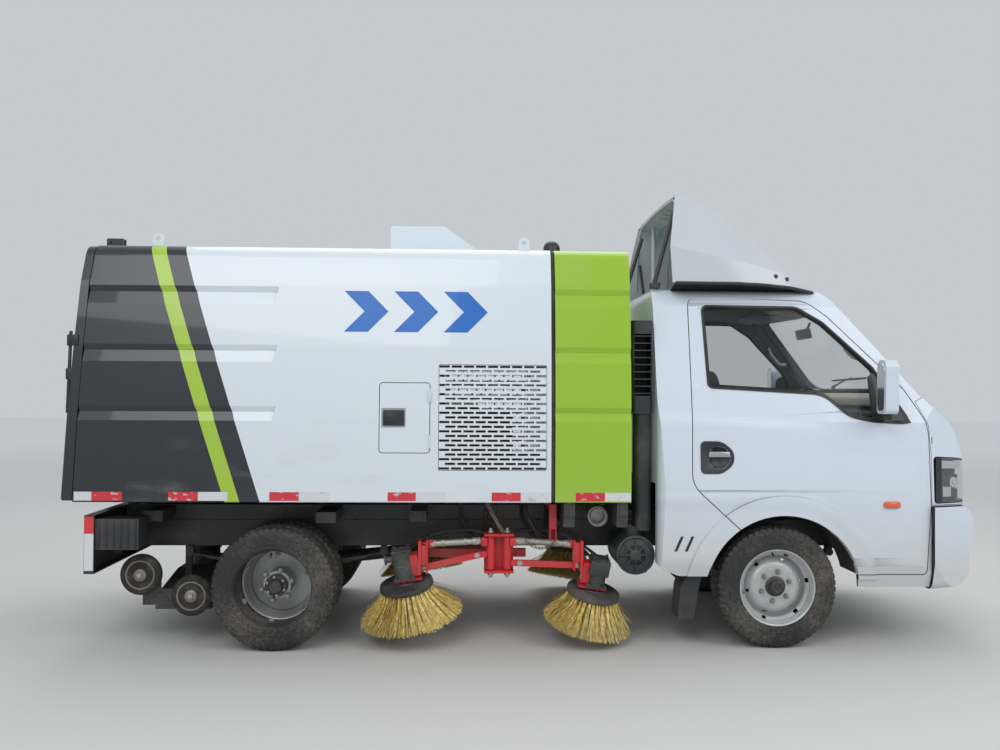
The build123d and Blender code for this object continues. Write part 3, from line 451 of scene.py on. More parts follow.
for kind, disc_rows, seat, hole_circle, hole_seat, first_hole, nut_circle, first_nut in wheel_kinds:
    for word, side in (("right", -1), ("left", 1)):
        rider = f"front_wheel_{word}" if kind == "front" else f"rear_wheels_{word}"
        wheel_y = side * (front_y if kind == "front" else twin_y[1])
        axle_x = front_axle_x if kind == "front" else rear_axle_x
        outward = Matrix.Translation((axle_x, wheel_y, axle_z)) @ Matrix.Rotation(radians(-90 * side), 4, "X")
        steel = wheel_form(disc_rows, hole_circle, hole_seat, first_hole)
        if kind == "rear":
            twin = Matrix.Translation((0, 0, twin_y[0] - twin_y[1]))
            steel.turned(rim_steps, twin, 72)
            steel.turned([(0.060, -0.006), (0.172, -0.006), (0.172, 0.006), (0.060, 0.006)], twin, 48)
            steel.turned([(0.058, -0.080), (0.075, -0.080), (0.075, 0.175), (0.058, 0.175)], twin, 48)
        steel.mesh.transform(outward)
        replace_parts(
            steel.piece(f"wheel_steel_{kind}_{word}", rim_silver, rider, "rim_silver"),
            f"front_rim_{word}" if kind == "front" else f"rear_rims_{word}",
        )
        nuts = Forge()
        for index in range(nuts_on_wheel):
            angle = radians(first_nut + 60 * index)
            x, y = nut_circle * cos(angle), nut_circle * sin(angle)
            nuts.rod((x, y, seat - 0.001), (x, y, seat + 0.004), 0.0165, 24, 0.0135)
            nuts.rod((x, y, seat + 0.003), (x, y, seat + 0.018), 0.0125, 6, edge=0.0012)
            nuts.rod((x, y, seat + 0.016), (x, y, seat + 0.028), 0.0065, 12, edge=0.001)
        if kind == "rear":
            for index in range(6):
                angle = radians(38 + 60 * index)
                x, y = hub_bolt_circle * cos(angle), hub_bolt_circle * sin(angle)
                nuts.rod((x, y, seat + 0.028), (x, y, seat + 0.042), 0.0085, 6, edge=0.001)
        nuts.mesh.transform(outward)
        nuts.piece(f"wheel_nuts_{kind}_{word}", nut_steel, rider)
        hub = Forge()
        if kind == "front":
            hub_rows = [
                (0.0, 0.000), (0.056, 0.000), (0.056, 0.047), (0.052, 0.050), (0.045, 0.051), (0.042, 0.053),
                (0.041, 0.078), (0.037, 0.088), (0.026, 0.092), (0.024, 0.0905), (0.0, 0.0900),
            ]
        else:
            hub_rows = [
                (0.0, -0.100), (0.062, -0.100), (0.062, -0.014), (0.059, -0.011), (0.038, -0.0105),
                (0.036, -0.008), (0.0355, 0.014), (0.033, 0.017), (0.012, 0.0175), (0.0, 0.0175),
            ]
        hub.turned(hub_rows, Matrix.Identity(4), 48, False)
        hub.mesh.transform(outward)
        hub.piece(f"hub_{kind}_{word}", hub_black, rider)
        valve = Forge()
        angle = radians(95)
        foot = Vector((0.186 * cos(angle), 0.186 * sin(angle), 0.040))
        tip = Vector((0.170 * cos(angle), 0.170 * sin(angle), 0.066))
        valve.rod(foot, foot.lerp(tip, 0.55), 0.0065, 12, 0.0045, 0.0008)
        valve.rod(foot.lerp(tip, 0.5), tip, 0.0038, 12, edge=0.0008)
        valve.mesh.transform(outward)
        valve.piece(f"valve_{kind}_{word}", hub_black, rider)

# Cab panels: pressed steel in pale white gloss paint, a little wavy in the light and dusty near the
# road. Faces inside the cab are painted near-black as shade. A black sheet set into the seam at the front of
# each door is painted shade for the gap, and two slanted slots behind each door are black strips on the skin,
# painted shade in place of open slots.
def panel_paint(name, colour, low_dust=0.5, creases=False):
    paint = Paint(name)
    x, y, z = paint.place()
    cloud = paint.noise(2.2, 5.0)
    low = (cloud * 0.5 + z * -0.8 + 0.55).step(0.0, 0.6) * low_dust
    streak = paint.noise(7.0, 4.0, (1.0, 1.0, 0.12)).step(0.55, 0.9) * 0.12
    shade = paint.mix(low.most(streak), colour, (0.5, 0.48, 0.43))
    relief = paint.noise(60.0, 1.0) * 0.00008
    if creases:
        # A crease along the door under the window, and a rounded lip round the wheel arch
        crease_depth = 0.007
        on_door = (abs(y) > 0.74) * (x < 2.2)
        upper = z + x * 0.0844 - 1.3058
        relief = relief + (upper.step(0.075, 0.0) * crease_depth) * x.step(2.0, 1.3) * on_door
        ahead = (x - 1.378).most(0.0)
        lip = (ahead * ahead + (z - 0.305) ** 2.0) ** 0.5
        lower = (lip - 0.568).step(0.0, -0.04) - (lip - 0.568).step(-0.05, -0.12) * 0.9
        relief = relief + lower * crease_depth * on_door * z.step(0.42, 0.56)
        # Faces that look at the middle of the cab are its inside, painted near-black and matte: painted shade
        # for the dark inside of the cab
        facing = paint.node("ShaderNodeTexCoord", out=1)
        cab_middle = (1.45, 0, 1.25)
        vector_maths = "ShaderNodeVectorMath"
        outward = paint.node(vector_maths, {"operation": "SUBTRACT"}, {0: paint.where(), 1: cab_middle})
        inside = paint.node(vector_maths, {"operation": "DOT_PRODUCT"}, {0: facing, 1: outward}, out=1) < -0.15
        shade = paint.mix(inside, shade, (0.035, 0.036, 0.04))
        return paint.surface(shade, low * 0.3 + inside * 0.4 + 0.28, 0.0, 0.5 - inside * 0.5, relief, 1.0)
    return paint.surface(shade, low * 0.3 + 0.28, 0.0, 0.5, relief, 1.0)


cab_white = panel_paint("cab_white", (0.64, 0.71, 0.79), 0.5, True)
# Black rubber paint, also used for black sheets that stand in as painted shade in gaps and slots
rubber_and_shade_black = road_paint("rubber_and_shade_black", (0.013, 0.014, 0.015), 0.6, 0.35)
for name in ("cab_shell", "front_panel", "front_bumper", "door_left", "door_right"):
    dress(name, cab_white)


def rounded(rows, steps=6):
    """Points of an outline whose corners have radii, from rows of x, z, radius."""
    points = []
    count = len(rows)
    for index, (x, z, radius) in enumerate(rows):
        corner = Vector((x, z))
        before = Vector(rows[index - 1][:2]) - corner
        after = Vector(rows[(index + 1) % count][:2]) - corner
        half = before.angle(after) / 2
        run = min(radius / max(abs(sin(half) / cos(half)), 1e-6), before.length * 0.49, after.length * 0.49)
        if run < 1e-4:
            points.append(corner)
            continue
        start, end = corner + before.normalized() * run, corner + after.normalized() * run
        for step in range(steps + 1):
            t = step / steps
            weight = cos(half + pi / 2) * -1
            mass = (1 - t) ** 2 + 2 * t * (1 - t) * weight + t * t
            points.append((start * (1 - t) ** 2 + corner * 2 * t * (1 - t) * weight + end * t * t) / mass)
    return [(point.x, point.y) for point in points]


def side_tree(names):
    """The right side of some CAD pieces, to lay trim on."""
    points, sides = [], []
    for name in names:
        shape = nodes[name].data
        base = len(points)
        points += [vertex.co.copy() for vertex in shape.vertices]
        sides += [tuple(base + index for index in face.vertices) for face in shape.polygons]
    return BVHTree.FromPolygons(points, sides)


cab_side = side_tree([
    "cab_shell", "door_right", "door_glass_right", "front_panel", "front_bumper", "headlamps",
])


def on_side(tree, x, z, default=None):
    """Where a line along Y first meets the right side, and the way that the surface faces."""
    spot, normal, face, reach = tree.ray_cast(Vector((x, -2.0, z)), Vector((0, 1, 0)))
    if spot is None or (default is not None and spot.y > default + 0.08):
        return Vector((x, default, z)), Vector((0, -1, 0))
    return spot, normal if normal.y < 0 else -normal


def raised(tree, x, z, rise, default=None):
    """A point that stands off the right side."""
    return on_side(tree, x, z, default)[0] + Vector((0, -rise, 0))


# Columns: x, z, corner radius
window_rows = [
    (0.966, 1.896, 0.025), (1.500, 1.892, 0.090), (1.640, 1.806, 0.150), (1.898, 1.552, 0.060),
    (2.080, 1.252, 0.020), (1.880, 1.262, 0.150), (1.752, 1.288, 0.150), (1.612, 1.412, 0.180),
    (0.976, 1.446, 0.020),
]
window_line = [Vector(point) for point in rounded(window_rows)]
seal_inner, seal_outer, seal_height, seal_sink = -0.016, 0.012, 0.004, 0.012
seal_rings = []
for index, point in enumerate(window_line):
    along = (window_line[(index + 1) % len(window_line)] - window_line[index - 1]).normalized()
    ring = []
    for share in (0.0, 0.12, 0.5, 0.88, 1.0):
        spot = point + Vector((along.y, -along.x)) * (seal_inner + (seal_outer - seal_inner) * share)
        rise = -seal_sink if share in (0.0, 1.0) else seal_height
        ring.append(raised(cab_side, spot.x, spot.y, rise))
    seal_rings.append(ring)
seal = Forge()
seal.skin(seal_rings, wrap=False, loop=True)
seal.piece("window_rubber_right", rubber_and_shade_black, "door_right", "rubber", pair=True)

# A black sheet set into the seam between the door, the nose and the bumper: painted shade for the gap, in the
# black rubber paint
seam_shade = Forge()
points = []
for step in range(25):
    z = 0.35 + 0.82 * step / 24
    back, _ = on_side(cab_side, 2.195, z, -0.84)
    ahead, _ = on_side(cab_side, 2.236, z, -0.83)
    for x, spot in ((2.196, back), (2.217, back), (2.236, ahead)):
        points += [Vector((x, spot.y + 0.012, z)), Vector((x, spot.y + 0.016, z))]
faces = []
for step in range(24):
    for a, b in ((0, 2), (2, 4), (3, 1), (5, 3)):
        faces.append((step * 6 + a, step * 6 + b, step * 6 + b + 6, step * 6 + a + 6))
seam_shade.add(points, faces)
seam_shade.piece("seam_liner_right", rubber_and_shade_black, "chassis", "plastic_black", pair=True)

# The vent slots behind the doors: two leaning black strips laid on the skin, painted shade in place of open
# slots
slot_shade = Forge()
for foot_x in (0.776, 0.834):
    rings = []
    for x, z in ((foot_x, 0.540), (foot_x + 0.036, 0.622)):
        rings.append([raised(cab_side, x + half_width, z, 0.0015) for half_width in (-0.008, 0.008)])
    slot_shade.skin(rings, wrap=False)
slot_shade.piece("vent_slots_right", rubber_and_shade_black, "chassis", pair=True)


def clear_glass(name, tint, alpha):
    paint = Paint(name)
    return paint.surface(tint, 0.04, 0.0, 1.0, Alpha=alpha, IOR=1.45)


def moulded(name, colour, roughness=0.55, dust_share=0.3):
    paint = Paint(name)
    grain = paint.noise(400.0, 2.0)
    dust = paint.noise(4.0, 5.0).step(0.45, 0.8) * dust_share
    shade = paint.mix(dust, colour, (0.3, 0.28, 0.24))
    return paint.surface(shade, dust * 0.3 + roughness, 0.0, 0.0, grain, 0.0003)


# Windows: clear toughened glass with a faint tint, bonded into the doors, the screen and the rear
# wall. The cab is hollow behind it, so the seats and the far window show through.
window_glass = clear_glass("window_glass", (0.05, 0.07, 0.07), 0.12)
for name in ("door_glass_left", "door_glass_right", "fixed_glass"):
    dress(name, window_glass)

# Headlamps: a clear polycarbonate cover round the corner of the cab, over a dark bowl with a bright
# upper reflector, two square lower ones and their bulbs; a gloss black end covers its edge at the door.
lamp_tree = side_tree(["headlamps"])
lens_clear = clear_glass("lens_clear", (0.5, 0.54, 0.58), 0.1)
bowl_dark = moulded("bowl_dark", (0.014, 0.016, 0.02), 0.35, 0.0)
gloss_black = Paint("gloss_black").surface((0.008, 0.009, 0.011), 0.12, 0.0, 0.8)
mirror_bright = Paint("mirror_bright").surface((0.75, 0.77, 0.8), 0.08, 1.0)
lamp_middle = Vector((2.20, -0.46, 0.0))
lamp_low, lamp_high = 0.801, (1.060, 1.042)


def lamp_hit(way, height):
    """Where the lamp's outer face is, looking in along a level way at a height."""
    for share in range(16):
        level = height + (0.93 - height) * share / 16
        spot, facing, _, _ = lamp_tree.ray_cast(lamp_middle + way * 0.8 + Vector((0, 0, level)), -way)
        if spot is not None and spot.y < 0:
            return Vector((spot.x, spot.y, height))
    return None


def lamp_spot(turn, share, depth):
    """A spot on the lamp's outer face: the turn goes from the side to the front, the share upward."""
    way = Vector((sin(turn), -cos(turn), 0))
    spot = lamp_hit(way, 0.93)
    if spot is None:
        return None
    high = lamp_high[0] + (lamp_high[1] - lamp_high[0]) * (spot.x - 2.228) / 0.332
    return lamp_hit(way, lamp_low + 0.002 + (high - lamp_low - 0.004) * share) - way * depth


def lamp_sheet(turns, shares, depth, back, across=26, up=8):
    """A curved plate that follows the lamp's outer face between two depths."""
    forge = Forge()
    points = []
    for level in (depth, back):
        for column in range(across + 1):
            for row in range(up + 1):
                turn = radians(turns[0] + (turns[1] - turns[0]) * column / across)
                share = shares[0] + (shares[1] - shares[0]) * row / up
                points.append(lamp_spot(turn, share, level))
    size = (across + 1) * (up + 1)
    faces = []
    for column in range(across):
        for row in range(up):
            a = column * (up + 1) + row
            faces.append((a, a + 1, a + up + 2, a + up + 1))
            faces.append((size + a, size + a + up + 1, size + a + up + 2, size + a + 1))
    rim = [column * (up + 1) for column in range(across + 1)]
    rim += [across * (up + 1) + row for row in range(1, up + 1)]
    rim += [column * (up + 1) + up for column in range(across - 1, -1, -1)]
    rim += [row for row in range(up - 1, 0, -1)]
    for index in range(len(rim)):
        after = rim[(index + 1) % len(rim)]
        faces.append((rim[index], after, size + after, size + rim[index]))
    forge.add(points, faces)
    return forge


seen = [turn for turn in range(-20, 100) if lamp_spot(radians(turn), 0.5, 0)]
turn_start, turn_end = seen[0] + 0.5, seen[-1] - 0.5
trim_end = turn_start + 6.5
lens = lamp_sheet((trim_end - 0.3, turn_end), (0.0, 1.0), 0.0, 0.003)
cover = lens.piece("lamp_cover_right", lens_clear, "chassis", "lamp_lens", pair=True, sharp=50)
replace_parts(cover[0], "headlamps")
trim = lamp_sheet((turn_start, trim_end), (0.0, 1.0), -0.001, 0.020, 6)
trim.piece("lamp_end_right", gloss_black, "chassis", "plastic_black", pair=True, sharp=50)
bowl = lamp_sheet((turn_start + 0.5, turn_end), (0.0, 1.0), 0.046, 0.056)
for turns, shares in (
    ((trim_end, turn_end), (0.0, 0.05)), ((trim_end, turn_end), (0.95, 1.0)),
    ((turn_end - 1.2, turn_end), (0.05, 0.95)), ((trim_end - 0.5, trim_end + 0.8), (0.05, 0.95)),
):
    bowl.join(lamp_sheet(turns, shares, 0.004, 0.048, 26, 1))
for turns, shares, depth in (
    ((trim_end + 2, turn_end - 22), (0.08, 0.62), 0.030), ((turn_end - 20, turn_end - 4), (0.1, 0.6), 0.034),
):
    bowl.join(lamp_sheet(turns, shares, depth, 0.050, 10, 4))
bowl.piece("lamp_bowl_right", bowl_dark, "chassis", "plastic_black", pair=True, sharp=30)
reflector = lamp_sheet((trim_end + 1.0, turn_end - 3), (0.76, 0.93), 0.016, 0.040, 26, 3)
for turns, shares in (
    ((trim_end + 6, trim_end + 16), (0.12, 0.34)), ((trim_end + 20, trim_end + 28), (0.3, 0.55)),
):
    reflector.join(lamp_sheet(turns, shares, 0.028, 0.031, 6, 4))
reflector.piece("lamp_reflector_right", mirror_bright, "chassis", "plastic_grey", pair=True, sharp=30)
bulbs = Forge()
for turn, share, radius in ((turn_start + 24, 0.45, 0.026), (turn_end - 12, 0.4, 0.032)):
    spot = lamp_spot(radians(turn), share, 0.040)
    way = Vector((sin(radians(turn)), -cos(radians(turn)), 0))
    bulbs.rod(spot, spot + way * 0.016, radius, 24, radius * 1.15, edge=0.002)
    bulbs.rod(spot + way * 0.014, spot + way * 0.026, radius * 0.45, 16, radius * 0.3, edge=0.002)
bulbs.piece("lamp_bulbs_right", mirror_bright, "chassis", "plastic_grey", pair=True)

# Door handles: a black moulded bezel, flat at the hinge end and round at the other, sunk into a round
# dish with a bright pull bar across it and a small lock at its lower rear corner.
handle_black = moulded("handle_black", (0.018, 0.02, 0.026), 0.4, 0.15)
bright_bar = Paint("bright_bar")
bright_bar = bright_bar.surface((0.42, 0.44, 0.47), 0.28, 0.9, 0.0, bright_bar.noise(300.0, 2.0), 0.0001)
handle_x, handle_z, dish_x = 0.9995, 1.053, 1.015
bezel_line = rounded([
    (0.913, 0.964, 0.026), (0.911, 1.143, 0.026), (1.030, 1.143, 0.085), (1.098, 1.090, 0.080),
    (1.098, 1.016, 0.080), (1.030, 0.964, 0.085),
], 8)
handle_y = on_side(cab_side, handle_x, handle_z)[0].y


def shrunk(outline, middle_x, middle_z, steps):
    """Rings of an outline on the cab's side, from steps of share of its size and height."""
    rings = []
    for share, rise in steps:
        spots = [(middle_x + (x - middle_x) * share, middle_z + (z - middle_z) * share) for x, z in outline]
        rings.append([raised(cab_side, x, z, rise) for x, z in spots])
    return rings


# Columns: share of the outline's size, height above the door skin
bezel_steps = [(1.0, -0.004), (1.0, 0.003), (0.975, 0.0055), (0.94, 0.006)]
bezel_rings = shrunk(bezel_line, handle_x, handle_z, bezel_steps)
# From the flat rim to the round dish. Columns: radius, height
for radius, rise in [(0.066, 0.006), (0.064, 0.0045), (0.060, -0.003), (0.046, -0.014), (0.0, -0.018)]:
    turns = [atan2(z - handle_z, x - dish_x) for x, z in bezel_line]
    bezel_rings.append(
        [raised(cab_side, dish_x + radius * cos(turn), handle_z + radius * sin(turn), rise) for turn in turns]
    )
bezel = Forge()
bezel.skin(bezel_rings)
bezel.piece("handle_bezel_right", handle_black, "door_right", "plastic_black", pair=True)
# The dish is cut out of the door
for word, side in (("right", -1), ("left", 1)):
    dish_y = side * (abs(handle_y) - 0.021)
    cutter = Forge().rod((dish_x, side * 0.95, handle_z), (dish_x, dish_y, handle_z), 0.0605, 48)
    cutter = put("dish_cutter", cutter.shape("dish_cutter"))
    cutter.hide_render = True
    cut = nodes[f"door_{word}"].modifiers.new("dish", "BOOLEAN")
    cut.operation, cut.solver, cut.object = "DIFFERENCE", "EXACT", cutter
pull = Forge()
pull.add(
    [
        (dish_x + x, handle_y + y, handle_z + z)
        for x, y, z in (
            (-0.063, -0.004, 0.002), (0.063, -0.004, 0.002), (0.056, -0.004, 0.034), (-0.056, -0.004, 0.034),
            (-0.061, -0.012, 0.004), (0.061, -0.012, 0.004), (0.054, -0.009, 0.032), (-0.054, -0.009, 0.032),
        )
    ],
    [(0, 3, 2, 1), (4, 5, 6, 7), (0, 1, 5, 4), (1, 2, 6, 5), (2, 3, 7, 6), (3, 0, 4, 7)],
)
pull.ease(list(pull.mesh.faces), 0.0015)
pull.rod((0.940, handle_y - 0.004, 0.986), (0.940, handle_y - 0.0085, 0.986), 0.0065, 20, edge=0.0015)
pull.piece("handle_pull_right", bright_bar, "door_right", "plastic_grey", pair=True)

# Side marker: an orange lens moulded in one piece with upright ribs inside, domed, on a thin seat
# that is pressed into the skin at the front of the door.
amber = Paint("amber_lens")
ribs = (amber.place()[0] * 900.0).sine()
amber_lens = amber.surface((0.75, 0.13, 0.03), 0.16, 0.0, 0.6, ribs, 0.0006)
marker_x, marker_z = 1.973, 0.797
marker_line = rounded([
    (1.926, 0.779, 0.017), (1.926, 0.815, 0.017), (2.020, 0.815, 0.014), (2.020, 0.779, 0.014),
], 5)
marker_steps = [(1.0, -0.003), (1.0, 0.008), (0.92, 0.013), (0.7, 0.016), (0.0, 0.0175)]
marker = Forge()
marker.skin(shrunk(marker_line, marker_x, marker_z, marker_steps))
marker.piece("side_marker_right", amber_lens, "door_right", "red_lens", pair=True)

# Mirrors: a white moulded back, the glass facing rearward, on a black foot that is screwed to the
# door, with a black corner plate at the front of the window.
mirror_paint = Paint("mirror_shell")
x, y, z = mirror_paint.place()
foot = (abs(y) < 0.8945).most(z < 1.3)
shade = mirror_paint.mix(foot, (0.6, 0.68, 0.76), (0.014, 0.014, 0.016))
mirror_shell = mirror_paint.surface(shade, foot * 0.2 + 0.3, 0.0, 0.3, mirror_paint.noise(200.0, 2.0), 0.0001)
for word in ("left", "right"):
    dress(f"mirror_{word}", mirror_shell)
    nodes[f"mirror_{word}"].modifiers.new("soft_edges", "BEVEL").width = 0.006
mirror_glass = Forge()
# Columns: y, z, corner radius
glass_line = rounded([
    (-0.995, 1.318, 0.02), (-0.912, 1.318, 0.02), (-0.912, 1.572, 0.025), (-0.999, 1.572, 0.035),
])
mirror_glass.plate(glass_line, "X", 1.8705, 0.006, 0.0015)
mirror_glass.piece("mirror_glass_right", mirror_bright, "door_right", "window_glass", pair=True)
sail = Forge()
corner = [
    (1.905, 1.535), (2.000, 1.400), (2.092, 1.250), (2.060, 1.243), (1.890, 1.258), (1.884, 1.290),
    (1.890, 1.500),
]
sail.skin([[raised(cab_side, x, z, rise, -0.80) for x, z in corner] for rise in (-0.003, 0.004)])
sail.mesh.faces.new(sail.corners[:len(corner)])
sail.mesh.faces.new(sail.corners[:len(corner) - 1:-1])
sail.piece("corner_plate_right", handle_black, "door_right", "plastic_black", pair=True)

# Front and screens: rubber seals round the windscreen and rear window, two wipers on their
# spindles, and the black slatted grille in the bumper's mouth.
black_plastic = moulded("black_plastic", (0.03, 0.031, 0.034))
for name in ("mud_flaps", "steering_wheel", "suction_hose", "tail_lamps"):
    dress(name, black_plastic)
front_tree = side_tree(["cab_shell", "fixed_glass", "front_panel"])


def on_front(tree, y, z, back=False):
    """The skin's point in front of (or behind) a place in the YZ plane, and its outward normal."""
    sign = -1 if back else 1
    spot, normal = tree.ray_cast(Vector((0.3 if back else 2.9, y, z)), Vector((-sign, 0, 0)), 3.0)[:2]
    if spot and normal.x * sign < 0:
        normal = -normal
    return spot, normal


def screen_seal(name, rows, back):
    """A rubber bead round a screen, from rows of y, z, radius on one side."""
    seal = Forge()
    outline = rounded(rows + [(-y, z, r) for y, z, r in reversed(rows)], 6)
    route = []
    for index, (y, z) in enumerate(outline):
        after = outline[(index + 1) % len(outline)]
        for step in range(6):
            share = step / 6
            spot = on_front(front_tree, y + (after[0] - y) * share, z + (after[1] - z) * share, back)[0]
            if spot:
                route.append(spot)
    half_width, half_height = 0.016, 0.005
    rings = []
    for index, spot in enumerate(route):
        ahead = (route[(index + 1) % len(route)] - route[index - 1]).normalized()
        out = Vector((1, 0, 0)) - ahead * ahead.x
        out.normalize()
        across = ahead.cross(out)
        turns = [2 * pi * corner / 8 for corner in range(8)]
        rings.append([spot + out * half_height * sin(turn) + across * half_width * cos(turn) for turn in turns])
    seal.skin(rings, loop=True)
    seal.piece(name, rubber_and_shade_black, "chassis", "rubber")


screen_seal("windscreen_seal", [(0.748, 1.426, 0.06), (0.628, 1.911, 0.06)], False)
screen_seal("rear_window_seal", [(0.476, 1.364, 0.06), (0.446, 1.806, 0.06)], True)

wipers = Forge()
for pivot, tip in ((0.48, -0.10), (-0.12, -0.66)):
    blade = []
    for step in range(9):
        share = step / 8
        y = pivot + 0.02 + (tip - pivot) * (0.12 + 0.88 * share)
        spot, normal = on_front(front_tree, y, 1.487 + 0.012 * share)
        if spot:
            blade.append(spot + normal * 0.014)
    wipers.pipe(blade, 0.0065, 8, 2)
    for spot in (blade[2], blade[4], blade[6]):
        wipers.block(spot - Vector((0.008, 0.012, 0.006)), spot + Vector((0.012, 0.012, 0.008)), 0.002)
    foot, normal = on_front(front_tree, pivot, 1.445)
    middle = blade[4]
    wipers.rod(foot, foot + normal * 0.026, 0.014, 20, 0.011, edge=0.003)
    elbow = foot.lerp(middle, 0.4) + normal * 0.034
    wipers.pipe([foot + normal * 0.024, elbow, middle + normal * 0.016], 0.0065, 8)
wipers.piece("wipers", handle_black, "chassis", "plastic_black")


def bumper_x(y, base):
    """The bumper's curve across the truck."""
    return base - 0.120 * (y / 0.88) ** 2


slats = Forge()
for row in range(6):
    z = 0.458 + row * 0.025
    line = [(bumper_x(-0.40 + step * 0.08, 2.538), -0.40 + step * 0.08, z) for step in range(11)]
    slats.pipe(line, 0.0055, 6, 1)
for column in range(9):
    y = -0.36 + column * 0.09
    slats.rod((bumper_x(y, 2.534), y, 0.436), (bumper_x(y, 2.534), y, 0.602), 0.0045, 6)
slats.block((2.455, -0.43, 0.415), (2.470, 0.43, 0.625), 0.002)
slats.piece("bumper_grille", black_plastic, "chassis", "plastic_black")

# Seats: a driver's seat and a double passenger seat, foam cushions in dark woven cloth with sewn
# channels. Each cushion starts a little small and swells to its size under its own pressure.
def weave(name, colour, thread):
    paint = Paint(name)
    x, y, z = paint.place()
    warp = (x * 1500.0 + z * 700.0).sine() * (y * 1500.0).sine()
    cloud = paint.noise(9.0, 4.0)
    shade = paint.mix(warp.step(-0.2, 0.6) * 0.5 + cloud * 0.3, colour, thread)
    return paint.surface(shade, 0.85, 0.0, 0.0, warp, 0.0006)


seat_weave = weave("seat_weave", (0.035, 0.036, 0.042), (0.10, 0.10, 0.115))
seat_side = weave("seat_side", (0.02, 0.02, 0.022), (0.05, 0.05, 0.055))


def cushion(name, rows, y0, y1, material, channels=()):
    """A foam cushion from a side outline, swollen by cloth pressure, with sewn channels."""
    room, most_swell, channel_depth, channel_width = 0.012, 0.014, 0.007, 0.014
    start = Forge()
    outline = rounded(rows, 5)
    made = start.skin([[(x, y, z) for x, z in outline] for y in (y0 + room, y1 - room)], caps=True)
    start.ease(made[-2:], 0.018, 3)
    shape = start.piece(name, material, "chassis", "seat_cloth")
    remesh = shape.modifiers.new("even", "REMESH")
    remesh.mode, remesh.voxel_size = "VOXEL", 0.014
    graph = bpy.context.evaluated_depsgraph_get()
    even = bpy.data.meshes.new_from_object(shape.evaluated_get(graph))
    shape.modifiers.clear()
    rest = [vertex.co.copy() for vertex in even.vertices]
    shape.data = even
    cloth = shape.modifiers.new("foam", "CLOTH")
    cloth.settings.use_pressure = True
    cloth.settings.uniform_pressure_force = 4.0
    cloth.settings.effector_weights.gravity = 0.0
    for frame_number in range(1, 21):
        bpy.context.scene.frame_set(frame_number)
    graph = bpy.context.evaluated_depsgraph_get()
    swollen = bpy.data.meshes.new_from_object(shape.evaluated_get(graph))
    shape.modifiers.clear()
    for vertex, place in zip(swollen.vertices, rest):
        move = vertex.co - place
        if move.length > most_swell:
            vertex.co = place + move.normalized() * most_swell
    shape.data = swollen
    bpy.context.scene.frame_set(1)
    for vertex in shape.data.vertices:
        for channel in channels:
            away = abs(vertex.co.y - channel)
            vertex.co -= vertex.normal * channel_depth * max(0.0, 1 - away / channel_width)
    shape.data.materials.clear()
    shape.data.materials.append(material)
    shape.data.polygons.foreach_set("use_smooth", [True] * len(shape.data.polygons))
    shape.modifiers.new("fine", "SUBSURF").levels = 1
    return shape


# Side outlines. Columns: x, z, corner radius
base_rows = [
    (1.010, 0.945, 0.02), (1.585, 0.945, 0.03), (1.590, 1.045, 0.045), (1.150, 1.035, 0.03),
    (1.010, 1.02, 0.02),
]
back_rows = [
    (0.990, 1.030, 0.02), (1.165, 1.052, 0.03), (1.065, 1.545, 0.04), (0.972, 1.545, 0.04),
    (0.985, 1.100, 0.05),
]
rest_rows = [(0.993, 1.583, 0.015), (1.052, 1.583, 0.015), (1.040, 1.732, 0.025), (0.973, 1.732, 0.025)]
# Columns: name, side that is nearer the middle, outer side, channels, middle of the headrest
seat_table = [
    ("driver", 0.138, 0.632, (0.23, 0.54), 0.385),
    ("passenger", -0.632, -0.048, (-0.54, -0.34, -0.14), -0.34),
]
for name, y0, y1, channels, middle in seat_table:
    base = cushion(f"{name}_seat_base", base_rows, y0, y1, seat_weave, channels)
    if name == "driver":
        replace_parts(base, "seats")
    cushion(f"{name}_seat_back", back_rows, y0, y1, seat_weave, channels)
    cushion(f"{name}_headrest", rest_rows, middle - 0.112, middle + 0.112, seat_side)
    posts = Forge()
    for y in (middle - 0.055, middle + 0.055):
        posts.rod((1.020, y, 1.52), (1.022, y, 1.60), 0.006, 12)
    posts.piece(f"{name}_headrest_posts", bright_bar, "chassis", "rim_silver")

# Cab trim: moulded grab handles bolted to the windscreen pillars, a mirror on its stalk, two padded
# visors and a pressed roof lining. The dashboard is a dark moulding with a cream top and air vents.
trim_grey = moulded("trim_grey", (0.16, 0.16, 0.165), 0.7, 0.0)
handle_grey = moulded("handle_grey", (0.42, 0.43, 0.44), 0.5, 0.0)
grip = Forge()
grip_route = [(1.785, -0.692, 1.728), (1.782, -0.650, 1.685), (1.845, -0.650, 1.608), (1.902, -0.688, 1.612)]
grip.pipe(grip_route, 0.0105, 12)
grip.piece("pillar_handle_right", handle_grey, "chassis", "plastic_grey", pair=True)
glance = Forge()
glance.block((1.775, -0.115, 1.755), (1.80, 0.115, 1.820), 0.008, Matrix.Rotation(radians(-12), 3, "Y"))
glance.rod((1.80, 0, 1.79), (1.83, 0, 1.86), 0.008, 12)
glance.piece("rear_view_mirror", handle_black, "chassis", "plastic_black")
visors = Forge()
for y in (-0.33, 0.33):
    visors.block((1.50, y - 0.21, 1.895), (1.69, y + 0.21, 1.913), 0.007, Matrix.Rotation(radians(9), 3, "Y"))
visors.piece("sun_visors", trim_grey, "chassis", "plastic_grey")
lining = Forge()
lining_half_width = 0.56
rings = []
# Columns: x, then height at the middle and at the side
for x, middle_z, side_z in (
    (0.735, 1.955, 1.90), (1.10, 1.972, 1.915), (1.45, 1.965, 1.905), (1.62, 1.94, 1.88),
):
    ring = []
    for share in (-1, -0.9, -0.5, 0, 0.5, 0.9, 1):
        ring.append((x, share * lining_half_width, middle_z + (side_z - middle_z) * abs(share) ** 3))
    rings.append(ring)
lining.skin(rings, wrap=False)
bmesh.ops.solidify(lining.mesh, geom=lining.mesh.faces[:], thickness=0.01)
lining.piece("roof_lining", moulded("lining_pale", (0.3, 0.29, 0.27), 0.9, 0.0), "chassis", "plastic_grey")

